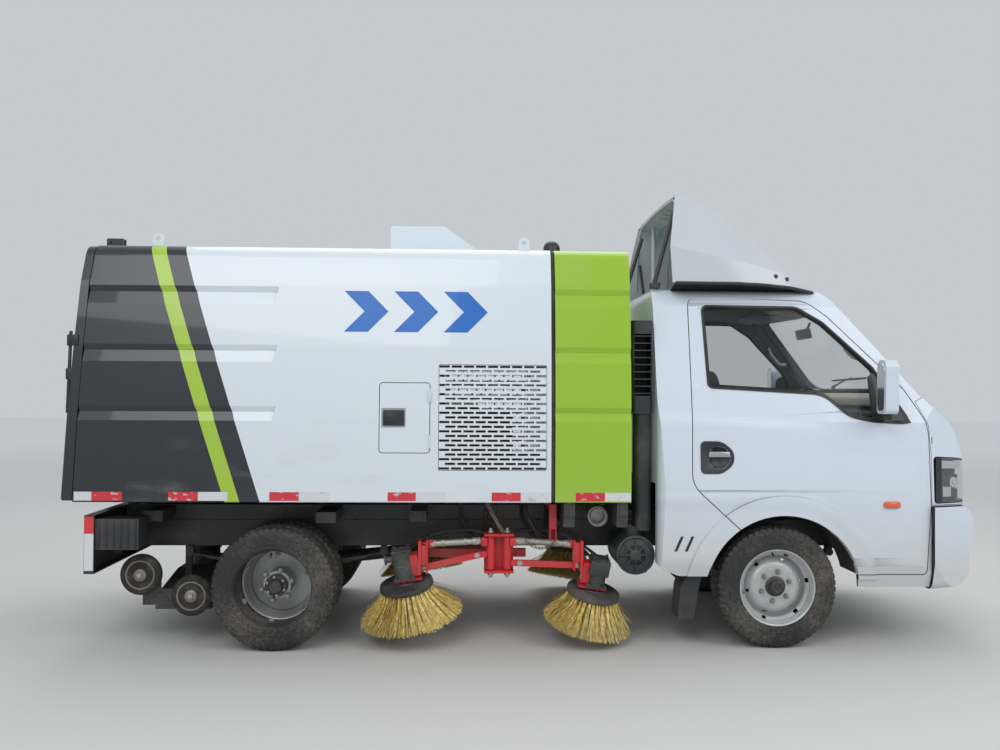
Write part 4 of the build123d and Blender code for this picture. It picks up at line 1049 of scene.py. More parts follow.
dash_dark = moulded("dash_dark", (0.05, 0.05, 0.055), 0.7)
dash_cream = moulded("dash_cream", (0.5, 0.47, 0.4), 0.65, 0.0)
dress("dashboard", dash_dark)
pad = Forge()
pad_line = rounded([
    (1.925, 1.335, 0.01), (1.945, 1.385, 0.03), (2.07, 1.408, 0.05), (2.146, 1.412, 0.004), (2.146, 1.335, 0.0),
], 4)
pad.plate(pad_line, "Y", -0.685, 1.37)
pad.piece("dash_top", dash_cream, "chassis", "plastic_grey")
vents = Forge()
for y in (-0.58, -0.10, 0.10, 0.60):
    vents.block((1.884, y - 0.055, 1.245), (1.893, y + 0.055, 1.310), 0.004)
    for row in range(4):
        vents.block((1.878, y - 0.048, 1.254 + row * 0.014), (1.886, y + 0.048, 1.258 + row * 0.014), 0.0)
vents.block((1.880, -0.24, 1.06), (1.893, -0.02, 1.20), 0.006)
vents.piece("dash_vents", handle_black, "chassis", "plastic_black")

# Roof deflector: a thin moulded shell, open to the rear, with ribs inside, two tube struts, a
# rubber strip along its foot and bolts near its tip.
deflector_white = panel_paint("deflector_white", (0.52, 0.56, 0.6))
dress("roof_deflector", deflector_white)
strut_dark = moulded("strut_dark", (0.06, 0.06, 0.065), 0.5)
hood_tree = side_tree(["roof_deflector"])


def inside_hit(x, y, ahead):
    """The first inner face of the deflector from its middle, in the plane of x."""
    return hood_tree.ray_cast(Vector((x, y, 2.15)), Vector(ahead), 1.2)[0]


ribs = Forge()
for index in range(6):
    x = 0.835 + index * 0.105
    line = []
    for step in range(23):
        angle = radians(-12 + step * 204 / 22)
        spot = inside_hit(x, 0.0, (0, cos(angle), sin(angle)))
        if spot:
            line.append(spot - Vector((0, cos(angle), sin(angle))) * 0.004)
    if len(line) > 6:
        ribs.pipe(line, 0.0075, 6, 1)
for angle_degrees in (52, 72, 90, 108, 128):
    line = []
    for step in range(9):
        x = 0.80 + step * 0.078
        angle = radians(angle_degrees)
        spot = inside_hit(x, 0.0, (0, cos(angle), sin(angle)))
        if spot:
            line.append(spot - Vector((0, cos(angle), sin(angle))) * 0.003)
    if len(line) > 4:
        ribs.pipe(line, 0.0055, 6, 1)
ribs.piece("deflector_ribs", deflector_white, "chassis", "cab_white")
struts = Forge()
for side in (-1, 1):
    struts.rod((0.835, side * 0.50, 2.470), (0.715, side * 0.545, 2.045), 0.013, 14)
    struts.rod((0.840, side * 0.60, 2.30), (0.875, side * 0.62, 2.06), 0.010, 12)
    struts.block((0.690, side * 0.545 - 0.03, 2.012), (0.745, side * 0.545 + 0.03, 2.046), 0.004)
struts.piece("deflector_struts", strut_dark, "chassis", "black_steel")

# The rubber strip: a sloping sheet from the skirt's lower edge down to the roof, and a bead
roof_tree = side_tree(["cab_shell"])
strip_start, strip_end, strip_steps = 0.800, 1.622, 26
edge, rings = [], []
for step in range(strip_steps + 1):
    x = strip_start + step * (strip_end - strip_start) / strip_steps
    for index in range(80):
        spot = hood_tree.ray_cast(Vector((x, -1.2, 1.972 + index * 0.003)), Vector((0, 1, 0)), 0.9)[0]
        if spot:
            break
    ground = roof_tree.ray_cast(Vector((x, -0.575, 2.3)), Vector((0, 0, -1)), 0.6)[0]
    if spot and ground:
        edge.append(spot + Vector((0, 0.001, -0.005)))
        rings.append([spot + Vector((0, 0.001, 0.001)), ground - Vector((0, 0, 0.003))])
strip = Forge()
made = strip.skin(rings, wrap=False)
bmesh.ops.solidify(strip.mesh, geom=made, thickness=0.005)
strip.pipe(edge, 0.009, 8, 1)
strip.piece("deflector_strip_right", rubber_and_shade_black, "chassis", "rubber", pair=True)
heads = Forge()
for x in (1.385, 1.455):
    spot, normal = hood_tree.ray_cast(Vector((x, -1.2, 2.075 - (x - 1.385) * 0.2)), Vector((0, 1, 0)), 1.0)[:2]
    if spot:
        normal = normal if normal.y < 0 else -normal
        heads.rod(spot, spot + normal * 0.006, 0.013, 20, 0.010)
heads.piece("deflector_bolts_right", handle_black, "chassis", "rubber", pair=True)

# Sweeper body: folded steel sheet in white gloss paint with a dark rear and a green stripe that lean
# together; a tailgate hinged at the roof, pressed grooves, a slotted side grille and a service flap.
body = Paint("body_bands")
body_white, rear_dark, stripe_green = (0.68, 0.74, 0.79), (0.012, 0.016, 0.024), (0.36, 0.55, 0.04)
eye_z, eye_y, eye_half = 2.205, 0.7, 0.0086
x, y, z = body.place()
edge = x + (z - 0.813) * 0.322 + 1.475
shade = body.mix(edge < 0.0, body_white, rear_dark)
shade = body.mix((edge < -0.107) * (edge > -0.187), shade, stripe_green)
# The lifting eyes are white all along the roof
shade = body.mix((z > eye_z) * (abs(abs(y) - eye_y) < eye_half), shade, body_white)
grime = body.noise(5.0, 5.0, (0.5, 1.0, 1.6)).step(0.52, 0.8) * z.step(1.25, 0.8) * 0.35
shade = body.mix(grime, shade, (0.32, 0.3, 0.27))
body_paint = body.surface(shade, grime * 0.4 + 0.3, 0.0, 0.5, body.noise(60.0, 1.0), 0.0001)
for name in ("hopper_shell", "tailgate", "side_grilles", "service_flap_left", "service_flap_right"):
    dress(name, body_paint)
dress("water_tank", panel_paint("tank_green", (0.3, 0.5, 0.02)))
body_side = side_tree(["hopper_shell", "service_flap_right", "side_grilles", "tailgate", "water_tank"])


def film(forge, corners, rise=0.0009, across=6, up=6):
    """A thin film between four corners of a side view, laid on the body's side."""
    a, b, c, d = (Vector(corner) for corner in corners)
    rings = []
    for column in range(across + 1):
        u = column / across
        low, high = a.lerp(b, u), d.lerp(c, u)
        spots = [low.lerp(high, row / up) for row in range(up + 1)]
        rings.append([raised(body_side, spot.x, spot.y, rise) for spot in spots])
    forge.skin(rings, wrap=False)


# Three plain blue film chevrons on the side, pointing forward
blue_film = Paint("blue_film").surface((0.0, 0.13, 0.5), 0.35, 0.0, 0.2)
marks = Forge()
for tip in (-0.80, -0.53, -0.26):
    foot, point, top = (tip - 0.24, 1.728), (tip - 0.13, 1.84), (tip - 0.24, 1.952)
    for low, high in ((foot, point), (point, top)):
        film(marks, [low, (low[0] + 0.13, low[1]), (high[0] + 0.13, high[1]), high])
marks.piece("side_chevrons_right", blue_film, "hopper", "green_paint", pair=True)

# Reflecting tape along the lower edge, worn and scratched, red and white in turn
def tape_paint(name, colour):
    paint = Paint(name)
    worn = paint.noise(22.0, 5.0, (1.0, 1.0, 2.0)).step(0.60, 0.66)
    comb = (paint.place()[0] * 1600.0).sine() * (paint.place()[2] * 1600.0).sine()
    shade = paint.mix(worn, colour, (0.5, 0.52, 0.53))
    return paint.surface(shade, worn * 0.4 + 0.3, 0.0, 0.4, comb, 0.0003)


body_tapes = {
    "red": tape_paint("tape_red", (0.62, 0.015, 0.035)),
    "white": tape_paint("tape_white", (0.66, 0.68, 0.7)),
}
tape_low, tape_high = 0.817, 0.864
# Columns: start, middle, end, colour of the first half, body that it is on
tape_rows = [
    (-2.452, -2.360, -2.199, "white", "hopper"), (-1.957, -1.800, -1.644, "red", "hopper"),
    (-1.423, -1.266, -1.105, "red", "hopper"), (-0.793, -0.642, -0.482, "red", "hopper"),
    (-0.234, -0.077, 0.081, "red", "hopper"), (0.221, 0.380, 0.520, "red", "chassis"),
]
for owner in ("hopper", "chassis"):
    for colour, paint in body_tapes.items():
        strips = Forge()
        for start, middle, end, first, on in tape_rows:
            if on == owner:
                low, high = (start, middle) if first == colour else (middle, end)
                corners = [(low, tape_low), (high, tape_low), (high, tape_high), (low, tape_high)]
                film(strips, corners, 0.0008, 4, 2)
        place = "body" if owner == "hopper" else "tank"
        strips.piece(f"{place}_tape_{colour}_right", paint, owner, "red_lens", pair=True)

# A black block in the gap between the body and the water tank, on the tank's rear edge: painted shade for the
# gap
tank_gap_line = [
    (0.884, 0.812), (0.879, 1.25), (0.854, 1.64), (0.816, 1.985), (0.762, 2.185), (0.700, 2.198), (0.0, 2.222),
]
inner_line = [(y - 0.03 if y else y, z - (0.03 if z > 2.1 else 0.0)) for y, z in tank_gap_line]
gap_block = Forge()
points = [(x, -y, z) for x in (0.092, 0.106) for line in (tank_gap_line, inner_line) for y, z in line]
count = len(tank_gap_line)
faces = []
for index in range(count - 1):
    for a, b in ((0, 1), (3, 2), (1, 3), (2, 0)):
        faces.append((a * count + index, a * count + index + 1, b * count + index + 1, b * count + index))
faces += [(0, count, 3 * count, 2 * count), (count - 1, 2 * count - 1, 4 * count - 1, 3 * count - 1)]
gap_block.add(points, faces)
gap_block.piece("tank_gasket_right", rubber_and_shade_black, "chassis", "rubber", pair=True)

# Flap latch: a black paddle in its recess, with a lock barrel, and the flap's two white hinges
latch = Forge()
latch.block((-0.822, -0.893, 1.221), (-0.708, -0.881, 1.306), 0.003)
latch.block((-0.812, -0.898, 1.240), (-0.738, -0.890, 1.287), 0.004)
latch.rod((-0.722, -0.892, 1.264), (-0.722, -0.897, 1.264), 0.009, 20, edge=0.0015)
latch.piece("flap_latch_right", handle_black, "service_flap_right", "plastic_black", pair=True)
hinges = Forge()
for z in (1.135, 1.385):
    hinges.rod((-0.5695, -0.8965, z - 0.035), (-0.5695, -0.8965, z + 0.035), 0.0055, 12, edge=0.001)
hinges.piece("flap_hinges_right", body_paint, "hopper", "body_white", pair=True)

# Tailgate latches: black brackets behind the rear edge, joined by an upright bar
lock = Forge()
for low, high in ((1.30, 1.36), (1.64, 1.70)):
    lock.block((-2.512, -0.868, low), (-2.452, -0.848, high), 0.004)
lock.rod((-2.506, -0.861, 1.28), (-2.496, -0.852, 1.72), 0.009, 14, edge=0.002)
lock.block((-2.515, -0.872, 1.46), (-2.483, -0.858, 1.52), 0.004)
lock.piece("tailgate_latch_right", handle_black, "tailgate", "plastic_black", pair=True)

# Tank vent: a dark cap on the tank's roof
vent_rows = [(0.0, 2.312), (0.025, 2.307), (0.042, 2.292), (0.050, 2.27), (0.051, 2.20), (0.0, 2.20)]
vent = Forge()
vent.turned(vent_rows, Matrix.Translation((0.132, -0.35, 0.0)), 40)
vent.piece("tank_vent", handle_black, "chassis", "plastic_black")

# Air intake and fittings between tank and cab: a moulded snorkel with slanted louvres, its pipe, a
# filter drum with a spoked cover and clamp bands, and a zinc drain pipe with its ring.
def facing_right(x, y, z):
    """A place whose own Z points out of the right side."""
    return Matrix.Translation((x, y, z)) @ Matrix.Rotation(radians(90), 4, "X")


snorkel_green = moulded("snorkel_green", (0.018, 0.028, 0.029), 0.5)
dress("air_intake", snorkel_green)
filter_x, filter_z = 0.566, 0.510
cover = Forge()
place = facing_right(filter_x, -0.782, filter_z)
cover_rows = [
    (0.088, 0.0), (0.107, 0.0), (0.109, 0.006), (0.107, 0.018), (0.098, 0.021), (0.092, 0.014), (0.088, 0.010),
]
cover.turned(cover_rows, place, 56)
cover.turned([(0.0, 0.006), (0.030, 0.006), (0.034, 0.012), (0.030, 0.020), (0.0, 0.022)], place, 32)
for index in range(8):
    angle = 2 * pi * index / 8
    start = place @ Vector((0.030 * cos(angle), 0.030 * sin(angle), 0.014))
    end = place @ Vector((0.092 * cos(angle), 0.092 * sin(angle), 0.014))
    cover.rod(start, end, 0.0045, 6)
cover.turned([(0.056, 0.010), (0.061, 0.010), (0.061, 0.018), (0.056, 0.018)], place, 40)
cover.piece("filter_cover", snorkel_green, "chassis", "plastic_black")
bands = Forge()
for y in (-0.50, -0.62, -0.74):
    band_rows = [(0.1035, -0.006), (0.1065, -0.006), (0.1065, 0.006), (0.1035, 0.006)]
    bands.turned(band_rows, facing_right(filter_x, y, filter_z), 56)
bands.rod((filter_x, -0.70, 0.608), (filter_x, -0.70, 0.660), 0.046, 32)
bands.piece("filter_bands", handle_black, "chassis", "plastic_black")
drain = Forge()
drain_x = 0.363
place = facing_right(drain_x, -0.66, 0.716)
drain.turned([(0.040, 0.0), (0.050, 0.0), (0.050, 0.086), (0.046, 0.092), (0.040, 0.088)], place, 40)
drain.turned([(0.048, 0.068), (0.056, 0.070), (0.056, 0.082), (0.048, 0.084)], place, 40)
drain.turned([(0.0, 0.004), (0.0395, 0.004), (0.0395, 0.010), (0.0, 0.010)], place, 32)
drain_route = ((-0.655, 0.716), (-0.56, 0.716), (-0.50, 0.78), (-0.50, 0.85))
drain.pipe([(drain_x, y, z) for y, z in drain_route], 0.040, 16)
zinc_pale = road_paint("zinc_pale", (0.4, 0.4, 0.39), 0.4, 0.4, 0.7)
drain.piece("drain_pipe", zinc_pale, "chassis", "rim_silver")

# Brush gear: on each side a red carrier holds two swinging arms. Each arm has a flat lower bar, a
# zinc turnbuckle above it, and at its end a cast hydraulic motor with hoses.
motor_green = road_paint("motor_green", (0.04, 0.05, 0.045), 0.5, 0.6)
zinc_grey = road_paint("zinc_grey", (0.5, 0.48, 0.42), 0.4, 0.5, 0.6)
hose_black = moulded("hose_black", (0.02, 0.02, 0.021), 0.6)
chain_steel = road_paint("chain_steel", (0.3, 0.27, 0.23), 0.5, 0.7, 0.7)
arm_red = road_paint("arm_red", (0.62, 0.02, 0.03), 0.4, 0.35)
dress("brush_carrier", arm_red)
for word in ("left", "right"):
    for end in ("front", "rear"):
        dress(f"brush_arm_{end}_{word}", arm_red)


def placed(forge, place):
    """The forge's forms, moved to their place on the truck."""
    bmesh.ops.transform(forge.mesh, matrix=place, verts=forge.mesh.verts[:])
    return forge


def bolt_along_y(forge, x, y, z, radius, height=0.008):
    """A hexagon bolt head on a washer, facing the right side."""
    forge.rod((x, y, z), (x, y - 0.003, z), radius * 1.35, 20)
    forge.rod((x, y - 0.003, z), (x, y - 0.003 - height, z), radius, 6, edge=0.0012)


# Radius and height of the round motor; start, end and radius of each length of the turnbuckle
motor_rows = [
    (0, 0.045), (0.056, 0.045), (0.056, 0.120), (0.052, 0.125), (0.052, 0.165), (0.057, 0.168),
    (0.057, 0.196), (0.05, 0.201), (0, 0.201),
]
nut_radius = 0.0205
turnbuckle_rows = [
    (0.0, 0.16, 0.0215), (0.16, 0.27, 0.0178), (0.27, 0.31, nut_radius), (0.31, 0.70, 0.0185),
    (0.70, 0.74, nut_radius), (0.74, 0.85, 0.0178), (0.85, 1.0, 0.0215),
]
# Columns: end, sign, pin, foot and end of the lower bar, disc centre, pitch
arm_table = [
    ("rear", -1, -0.232, (-0.285, 0.500), (-0.620, 0.424), (-0.700, 0.335), -9),
    ("front", 1, -0.140, (-0.095, 0.452), (0.268, 0.440), (0.345, 0.292), 10),
]
for end, sign, pin, foot, tip, centre, pitch in arm_table:
    body = f"brush_arm_{end}_right"
    place = Matrix.Translation((centre[0], -0.700, centre[1]))
    place = place @ Matrix.Rotation(radians(12), 4, "X") @ Matrix.Rotation(radians(pitch), 4, "Y")
    motor = Forge()
    motor.block((-0.060, -0.060, 0.0395), (0.060, 0.060, 0.052), 0.004)
    if end == "rear":
        motor.turned(motor_rows, Matrix(), 32)
        motor.block((-0.052, -0.04, 0.196), (0.052, 0.04, 0.208), 0.005)
        motor.rod((-0.05, 0, 0.155), (-0.088, 0, 0.155), 0.018, 24, edge=0.003)
        motor.rod((-0.086, 0, 0.155), (-0.098, 0, 0.155), 0.027, 28, edge=0.003)
    else:
        motor.turned([(0, 0.045), (0.0515, 0.045), (0.0515, 0.115), (0, 0.115)], Matrix(), 32)
        motor.block((-0.056, -0.054, 0.108), (0.056, 0.054, 0.196), 0.006)
        motor.block((-0.050, -0.048, 0.196), (0.050, 0.048, 0.203), 0.003)
    for x in (-0.04, 0.04):
        for y in (-0.034, 0.034):
            motor.rod((x, y, 0.2), (x, y, 0.213), 0.0075, 6, edge=0.001)
            motor.rod((x * 1.18, y * 1.4, 0.052), (x * 1.18, y * 1.4, 0.062), 0.008, 6, edge=0.001)
    placed(motor, place).piece(f"motor_{end}_right", motor_green, body, "engine_iron", pair=True)

    plate = Forge()
    inner = tip[0] - sign * 0.034
    plate.block((inner - 0.004, -0.748, tip[1] - 0.028), (inner + 0.004, -0.672, 0.584), 0.0015)
    low, high = sorted((inner - sign * 0.034, inner))
    start_low, start_high = sorted((foot[0], foot[0] - sign * 0.03))
    for y in (-0.728, -0.688):
        plate.block((low, y, 0.538), (high, y + 0.007, 0.578), 0.0015)
        plate.block((start_low, y, 0.548), (start_high + 0.004, y + 0.007, 0.594), 0.0015)
    plate.block((inner - 0.004, -0.744, tip[1] + 0.02), (tip[0] + sign * 0.006, -0.738, tip[1] + 0.13), 0.001)
    plate.piece(f"arm_plates_{end}_right", arm_red, body, "red_paint", pair=True)

    link = Forge()
    start = Vector((foot[0] + sign * 0.004, -0.704, 0.5745))
    finish = Vector((inner - sign * 0.008, -0.705, 0.5575))
    for first, second, radius in turnbuckle_rows:
        sides = 6 if radius == nut_radius else 20
        link.rod(start.lerp(finish, first), start.lerp(finish, second), radius, sides, edge=0.0015)
    for share in (0.07, 0.93):
        spot = start.lerp(finish, share)
        bolt_along_y(link, spot.x, spot.y - 0.020, spot.z, 0.0095)
    link.piece(f"turnbuckle_{end}_right", zinc_grey, body, "rim_silver", pair=True)

    fixings = Forge()
    for share in (0.07, 0.94):
        x, z = foot[0] + (tip[0] - foot[0]) * share, foot[1] + (tip[1] - foot[1]) * share
        bolt_along_y(fixings, x, -0.7165, z, 0.0115)
    for z, step in ((0.598, 1), (0.418, -1)):
        fixings.rod((pin, -0.704, z + step * 0.022), (pin, -0.704, z + step * 0.034), 0.017, 6, edge=0.002)
        fixings.rod((pin, -0.704, z + step * 0.034), (pin, -0.704, z + step * 0.048), 0.009, 14, edge=0.002)
    fixings.piece(f"arm_bolts_{end}_right", zinc_grey, body, "rim_silver", pair=True)

    ports = [place @ Vector((0.03 * s, 0.052, 0.15)) for s in (-1, 1)]
    lines = Forge()
    for number, port in enumerate(ports):
        away = Vector((centre[0] - sign * (0.14 + 0.03 * number), -0.62, 0.60 + 0.02 * number))
        lines.rod(port, port + Vector((0, 0.022, 0)), 0.011, 6)
        over = (foot[0] + sign * 0.05, -0.63 + 0.02 * number, 0.63)
        beside_pin = (pin + sign * 0.01, -0.655 + 0.018 * number, 0.60)
        lines.pipe([port, port + Vector((0, 0.05, 0.02)), away, over, beside_pin], 0.0085, 10)
    lines.piece(f"arm_hoses_{end}_right", hose_black, body, "rubber", pair=True)

# Hoses that hang under the body, from their clamps and back up
hose_loop = [
    (0, -0.50, 0.76), (0, -0.57, 0.68), (0.05, -0.60, 0.60), (0.11, -0.58, 0.54), (0.14, -0.52, 0.60),
    (0.15, -0.46, 0.74),
]
low_loop = [
    (-0.05, -0.62, 0.80), (-0.02, -0.66, 0.70), (0.02, -0.66, 0.62), (0.08, -0.64, 0.585), (0.16, -0.62, 0.61),
    (0.22, -0.56, 0.72), (0.22, -0.5, 0.80),
]
hangers = Forge()
for hang_x in (-0.40, -0.05):
    hangers.pipe([(hang_x + x, y, z) for x, y, z in hose_loop], 0.011, 10)
hangers.pipe(low_loop, 0.011, 10)
hangers.piece("hanging_hoses_right", hose_black, "chassis", "rubber", pair=True)


def chain(forge, start, end, sag):
    """Welded links along a line that hangs by sag at its middle."""
    wire, pitch_size, bend, half_straight = 0.0024, 0.021, 0.0075, 0.0065
    start, end = Vector(start), Vector(end)
    steps = max(3, int((end - start).length * (1 + 3 * sag) / pitch_size))
    for index in range(steps):
        share = (index + 0.5) / steps
        spot = start.lerp(end, share) - Vector((0, 0, 4 * sag * share * (1 - share)))
        ahead = end - start - Vector((0, 0, 4 * sag * (1 - 2 * share)))
        basis = ahead.to_track_quat("X", "Z").to_matrix().to_4x4()
        basis = basis @ Matrix.Rotation(radians(45 + 90 * (index % 2)), 4, "X")
        route = []
        for corner in range(12):
            angle = 2 * pi * corner / 12
            straight = half_straight if cos(angle) > 0 else -half_straight
            point = Vector((bend * cos(angle) + straight, bend * sin(angle), 0))
            route.append(Matrix.Translation(spot) @ basis @ point)
        side = basis.to_3x3() @ Vector((0, 0, 1))
        rings = []
        for corner, centre in enumerate(route):
            out = (route[(corner + 1) % 12] - route[corner - 1]).normalized().cross(side)
            turns = [2 * pi * turn / 6 for turn in range(6)]
            rings.append([centre + (side * cos(turn) + out * sin(turn)) * wire for turn in turns])
        forge.skin(rings, loop=True)
    return forge


chains = Forge()
chain(chains, (-0.262, -0.72, 0.790), (-0.170, -0.722, 0.628), 0.0)
chain(chains, (-0.250, -0.735, 0.790), (-0.160, -0.735, 0.628), 0.012)
chains.piece("lifting_chains_right", chain_steel, "chassis", "axle_iron", pair=True)
slack = chain(Forge(), (-0.040, -0.734, 0.580), (0.130, -0.734, 0.577), 0.040)
slack.piece("slack_chain_right", chain_steel, "brush_arm_front_right", "axle_iron", pair=True)

# Post bracket under the front of the body: two cheeks on a back plate
post = Forge()
for x in (0.095, 0.128):
    post.block((x, -0.718, 0.56), (x + 0.007, -0.66, 0.66), 0.0015)
post.block((0.095, -0.664, 0.56), (0.135, -0.658, 0.66), 0.0015)
post.piece("post_bracket_right", arm_red, "chassis", "red_paint", pair=True)

# Rear end: a pressed channel bumper with red and white reflecting tape, ribbed black lamp boxes
# with red and amber lenses, and the rubber-tyred guide wheels of the suction head.
def bumper_tape(name, colour, bright):
    paint = Paint(name)
    cells = paint.noise(400.0, 1.0)
    return paint.surface(paint.mix(cells.step(0.4, 0.7), colour, bright), 0.35, 0.0, 0.4)


bumper_red = bumper_tape("bumper_red", (0.62, 0.01, 0.02), (0.8, 0.06, 0.06))
bumper_white = bumper_tape("bumper_white", (0.62, 0.64, 0.66), (0.75, 0.77, 0.79))
red_tapes, white_tapes = Forge(), Forge()
for index in range(8):
    y = -0.82 + index * 0.205
    (red_tapes if index % 2 == 0 else white_tapes).block((-2.4075, y, 0.672), (-2.4062, y + 0.2045, 0.722), 0.0)
red_tapes.block((-2.404, -0.8735, 0.640), (-2.356, -0.8722, 0.728), 0.0)
white_tapes.block((-2.404, -0.8735, 0.440), (-2.356, -0.8722, 0.638), 0.0)
red_tapes.piece("bumper_tape_red", bumper_red, "chassis", "red_lens")
white_tapes.piece("bumper_tape_white", bumper_white, "chassis", "body_white")

lamp_red = clear_glass("lamp_red", (0.55, 0.005, 0.01), 0.9)
lamp_amber = clear_glass("lamp_amber", (0.8, 0.25, 0.01), 0.9)
box_ribs, reds, ambers = Forge(), Forge(), Forge()
for index in range(7):
    x = -2.375 + index * 0.038
    box_ribs.block((x, -0.8535, 0.556), (x + 0.008, -0.8495, 0.704), 0.001)
box_ribs.block((-2.4125, -0.842, 0.556), (-2.4085, -0.698, 0.562), 0.001)
box_ribs.block((-2.4125, -0.842, 0.648), (-2.4085, -0.698, 0.654), 0.001)
reds.block((-2.416, -0.836, 0.565), (-2.4105, -0.772, 0.645), 0.002)
ambers.block((-2.416, -0.770, 0.565), (-2.4105, -0.735, 0.645), 0.002)
reds.block((-2.416, -0.733, 0.565), (-2.4105, -0.704, 0.645), 0.002)
box_ribs.piece("tail_lamp_ribs_right", handle_black, "chassis", "plastic_black", pair=True)
reds.piece("tail_lamp_red_right", lamp_red, "chassis", "red_lens", pair=True)
ambers.piece("tail_lamp_amber_right", lamp_amber, "chassis", "red_lens", pair=True)

# Guide wheels of the suction head: solid rubber worn grey on a steel disc, with a pressed bearing
# hub and an axle nut on the stub, which doesn't turn.
wheel_paint = Paint("solid_rubber")
grime = wheel_paint.noise(14.0, 6.0).step(0.45, 0.75) * 0.6
grain = wheel_paint.noise(160.0, 2.0)
shade = wheel_paint.mix(grime, (0.022, 0.021, 0.02), (0.15, 0.13, 0.11))
solid_rubber = wheel_paint.surface(shade, 0.8, 0.0, 0.0, grain, 0.0008)
for word in ("left", "right"):
    for end in ("front", "rear"):
        dress(f"guide_wheel_{end}_{word}", solid_rubber)
for end, x, z in (("rear", -2.166, 0.384), ("front", -1.887, 0.268)):
    hub = Forge()
    place = facing_right(x, -0.672, z)
    hub_rows = [
        (0.012, 0.015), (0.066, 0.015), (0.070, 0.022), (0.074, 0.0265), (0.080, 0.0265), (0.080, 0.012),
        (0.012, 0.010),
    ]
    hub.turned(hub_rows, place, 40)
    hub.turned([(0.012, 0.012), (0.034, 0.012), (0.034, 0.030), (0.028, 0.034), (0.012, 0.034)], place, 32)
    hub.piece(f"guide_hub_{end}_right", chain_steel, f"guide_wheel_{end}_right", "axle_iron", pair=True)
    nut = Forge()
    nut.rod((x, -0.7055, z), (x, -0.716, z), 0.015, 6, edge=0.0015)
    nut.rod((x, -0.716, z), (x, -0.722, z), 0.009, 14, edge=0.001)
    nut.piece(f"guide_nut_{end}_right", zinc_grey, "chassis", "rim_silver", pair=True)

# Brushes: a moulded disc that holds tufts of stiff straw-yellow bristles, splayed by sweeping, with
# bent, short and rust-brown ones at the rim. The disc is bolted to the motor's flange.
straw = Paint("straw_bristle")
tuft = straw.noise(55.0, 2.0)
x, y, z = straw.place()
shade = straw.mix(tuft.step(0.35, 0.7), (0.62, 0.45, 0.09), (0.93, 0.78, 0.32))
shade = straw.mix(z.step(0.17, 0.07) * 0.4, shade, (0.3, 0.24, 0.15))
straw_skin = straw.surface(shade, 0.6)
rust_skin = Paint("rusty_bristle").surface((0.16, 0.05, 0.02), 0.6)
disc_black = road_paint("disc_black", (0.03, 0.03, 0.032), 0.6, 0.7)
disc_rows = [
    (0.025, 0.019), (0.060, 0.021), (0.064, 0.016), (0.136, 0.015), (0.147, 0.010), (0.150, 0.000),
    (0.150, -0.014), (0.145, -0.019), (0.070, -0.019), (0.060, -0.012), (0.025, -0.012),
]
joints = {joint["name"]: joint for joint in frame["joints"]}


def bristles(count, rings, reach_to, drop, width, seed, wild=0.03):
    """Three-sided bristles that leave the disc in tufts and bend outward, gathered in one form."""
    chance = random.Random(seed)
    points, faces = [], []
    tufts = 34
    for number in range(count):
        ring = chance.choice(rings)
        angle = (chance.randrange(tufts) + chance.gauss(0.5, 0.15)) * 2 * pi / tufts
        flare = ring / rings[-1]
        reach = reach_to * (0.66 + 0.34 * flare) * chance.gauss(0.985, 0.02)
        down = drop * chance.gauss(0.985, 0.025)
        if chance.random() < wild:
            reach, down = reach * 1.04, down * chance.uniform(0.55, 0.9)
        swirl = chance.gauss(0.0, 0.05)
        base = len(points)
        for step in range(5):
            share = step / 4
            out = ring + (reach - ring) * share**1.25
            height = -0.016 - down * share**0.92
            around = angle + swirl * share * share
            thin = width * (1 - 0.25 * share) / 2
            for corner in range(3):
                spot = Vector((out + thin * sin(corner * 2.094), -thin * cos(corner * 2.094), height))
                points.append(Matrix.Rotation(around, 3, "Z") @ spot)
        for step in range(4):
            for corner in range(3):
                low, high = base + step * 3 + corner, base + step * 3 + (corner + 1) % 3
                faces.append((low, high, high + 3, low + 3))
        faces.append((base + 12, base + 13, base + 14))
        faces.append((base + 2, base + 1, base))
    shape = bpy.data.meshes.new("bristles")
    shape.from_pydata(points, [], faces)
    return shape


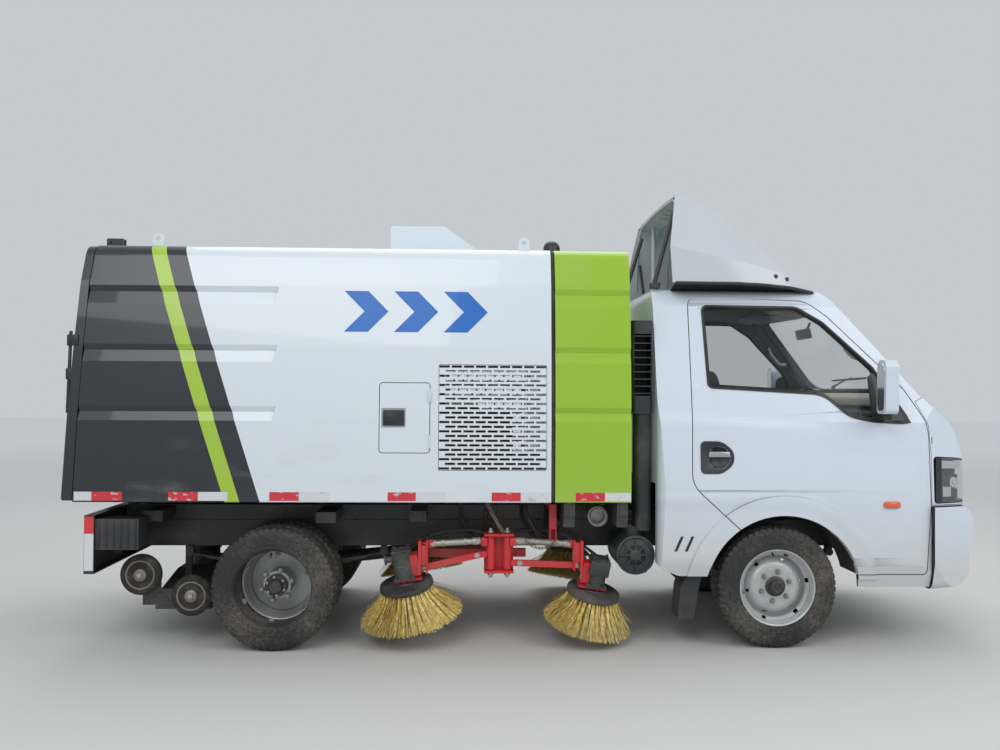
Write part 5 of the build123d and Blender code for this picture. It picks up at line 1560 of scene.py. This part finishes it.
# Columns: end, reach of the bristle tips from the axis, drop of the tips below the disc, seed
for end, tip_reach, drop, seed in [("rear", 0.287, 0.168, 3), ("front", 0.247, 0.172, 7)]:
    tufts = bristles(2300, (0.082, 0.1, 0.118, 0.134), tip_reach, drop, 0.0037, seed)
    tufts.materials.append(straw_skin)
    rusty = bristles(60, (0.118, 0.134), tip_reach, drop * 0.95, 0.0034, seed + 1, 0.3)
    rusty.materials.append(rust_skin)
    plate = Forge().turned(disc_rows, Matrix(), 64)
    for index in range(6):
        angle = index * pi / 3
        place = Vector((0.045 * cos(angle), 0.045 * sin(angle), 0.0))
        plate.rod(place + Vector((0, 0, 0.018)), place + Vector((0, 0, 0.027)), 0.008, 6)
    for word in ("left", "right"):
        spin = joints[f"brush_{end}_{word}_spin"]
        body = f"brush_{end}_{word}"
        turn = Vector(spin["axis"]).to_track_quat("Z", "Y").to_matrix().to_4x4()
        place = Matrix.Translation(Vector(spin["pos_m"])) @ turn
        for name, shape in ((f"bristles_{end}_{word}", tufts), (f"rusty_bristles_{end}_{word}", rusty)):
            hair = put(name, shape.copy())
            hair.data.transform(place)
            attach(hair, body)
            if shape is tufts:
                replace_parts(hair, body)
        disc = Forge()
        disc.mesh = plate.mesh.copy()
        placed(disc, place).piece(f"brush_plate_{end}_{word}", disc_black, body, "plastic_black")

# Floor and lamps: a pale floor that gets paler towards its far edge, an even sky, and three wide
# soft lamps above and beside the truck.
floor_shape = bpy.data.meshes.new("floor")
floor_shape.from_pydata([(-40, -30, 0), (40, -30, 0), (40, 40, 0), (-40, 40, 0)], [], [(0, 1, 2, 3)])
floor = put("floor", floor_shape)
pale = Paint("floor_pale")
x, y, z = pale.place()
far = ((x * x + y * y) ** 0.5).step(5.0, 24.0)
floor_shape.materials.append(pale.surface(pale.mix(far, (0.62, 0.61, 0.59), (0.93, 0.94, 0.95)), 0.8))
world = bpy.data.worlds.new("soft_sky")
bpy.context.scene.world = world
world.use_nodes = True
world.node_tree.nodes["Background"].inputs[0].default_value = (0.9, 0.95, 1.0, 1)
world.node_tree.nodes["Background"].inputs[1].default_value = 0.62
# Columns: place, size, power
lamp_table = [((-3, -9, 7), 6, 300), ((6, -6, 6), 5, 190), ((0, 3, 9), 8, 320)]
for where, size, power in lamp_table:
    lamp_data = bpy.data.lights.new("soft_lamp", "AREA")
    lamp_data.energy, lamp_data.size = power, size
    lamp = put("soft_lamp", lamp_data)
    lamp.location = where
    lamp.rotation_euler = (Vector((0, 0, 1)) - Vector(where)).to_track_quat("-Z", "Y").to_euler()
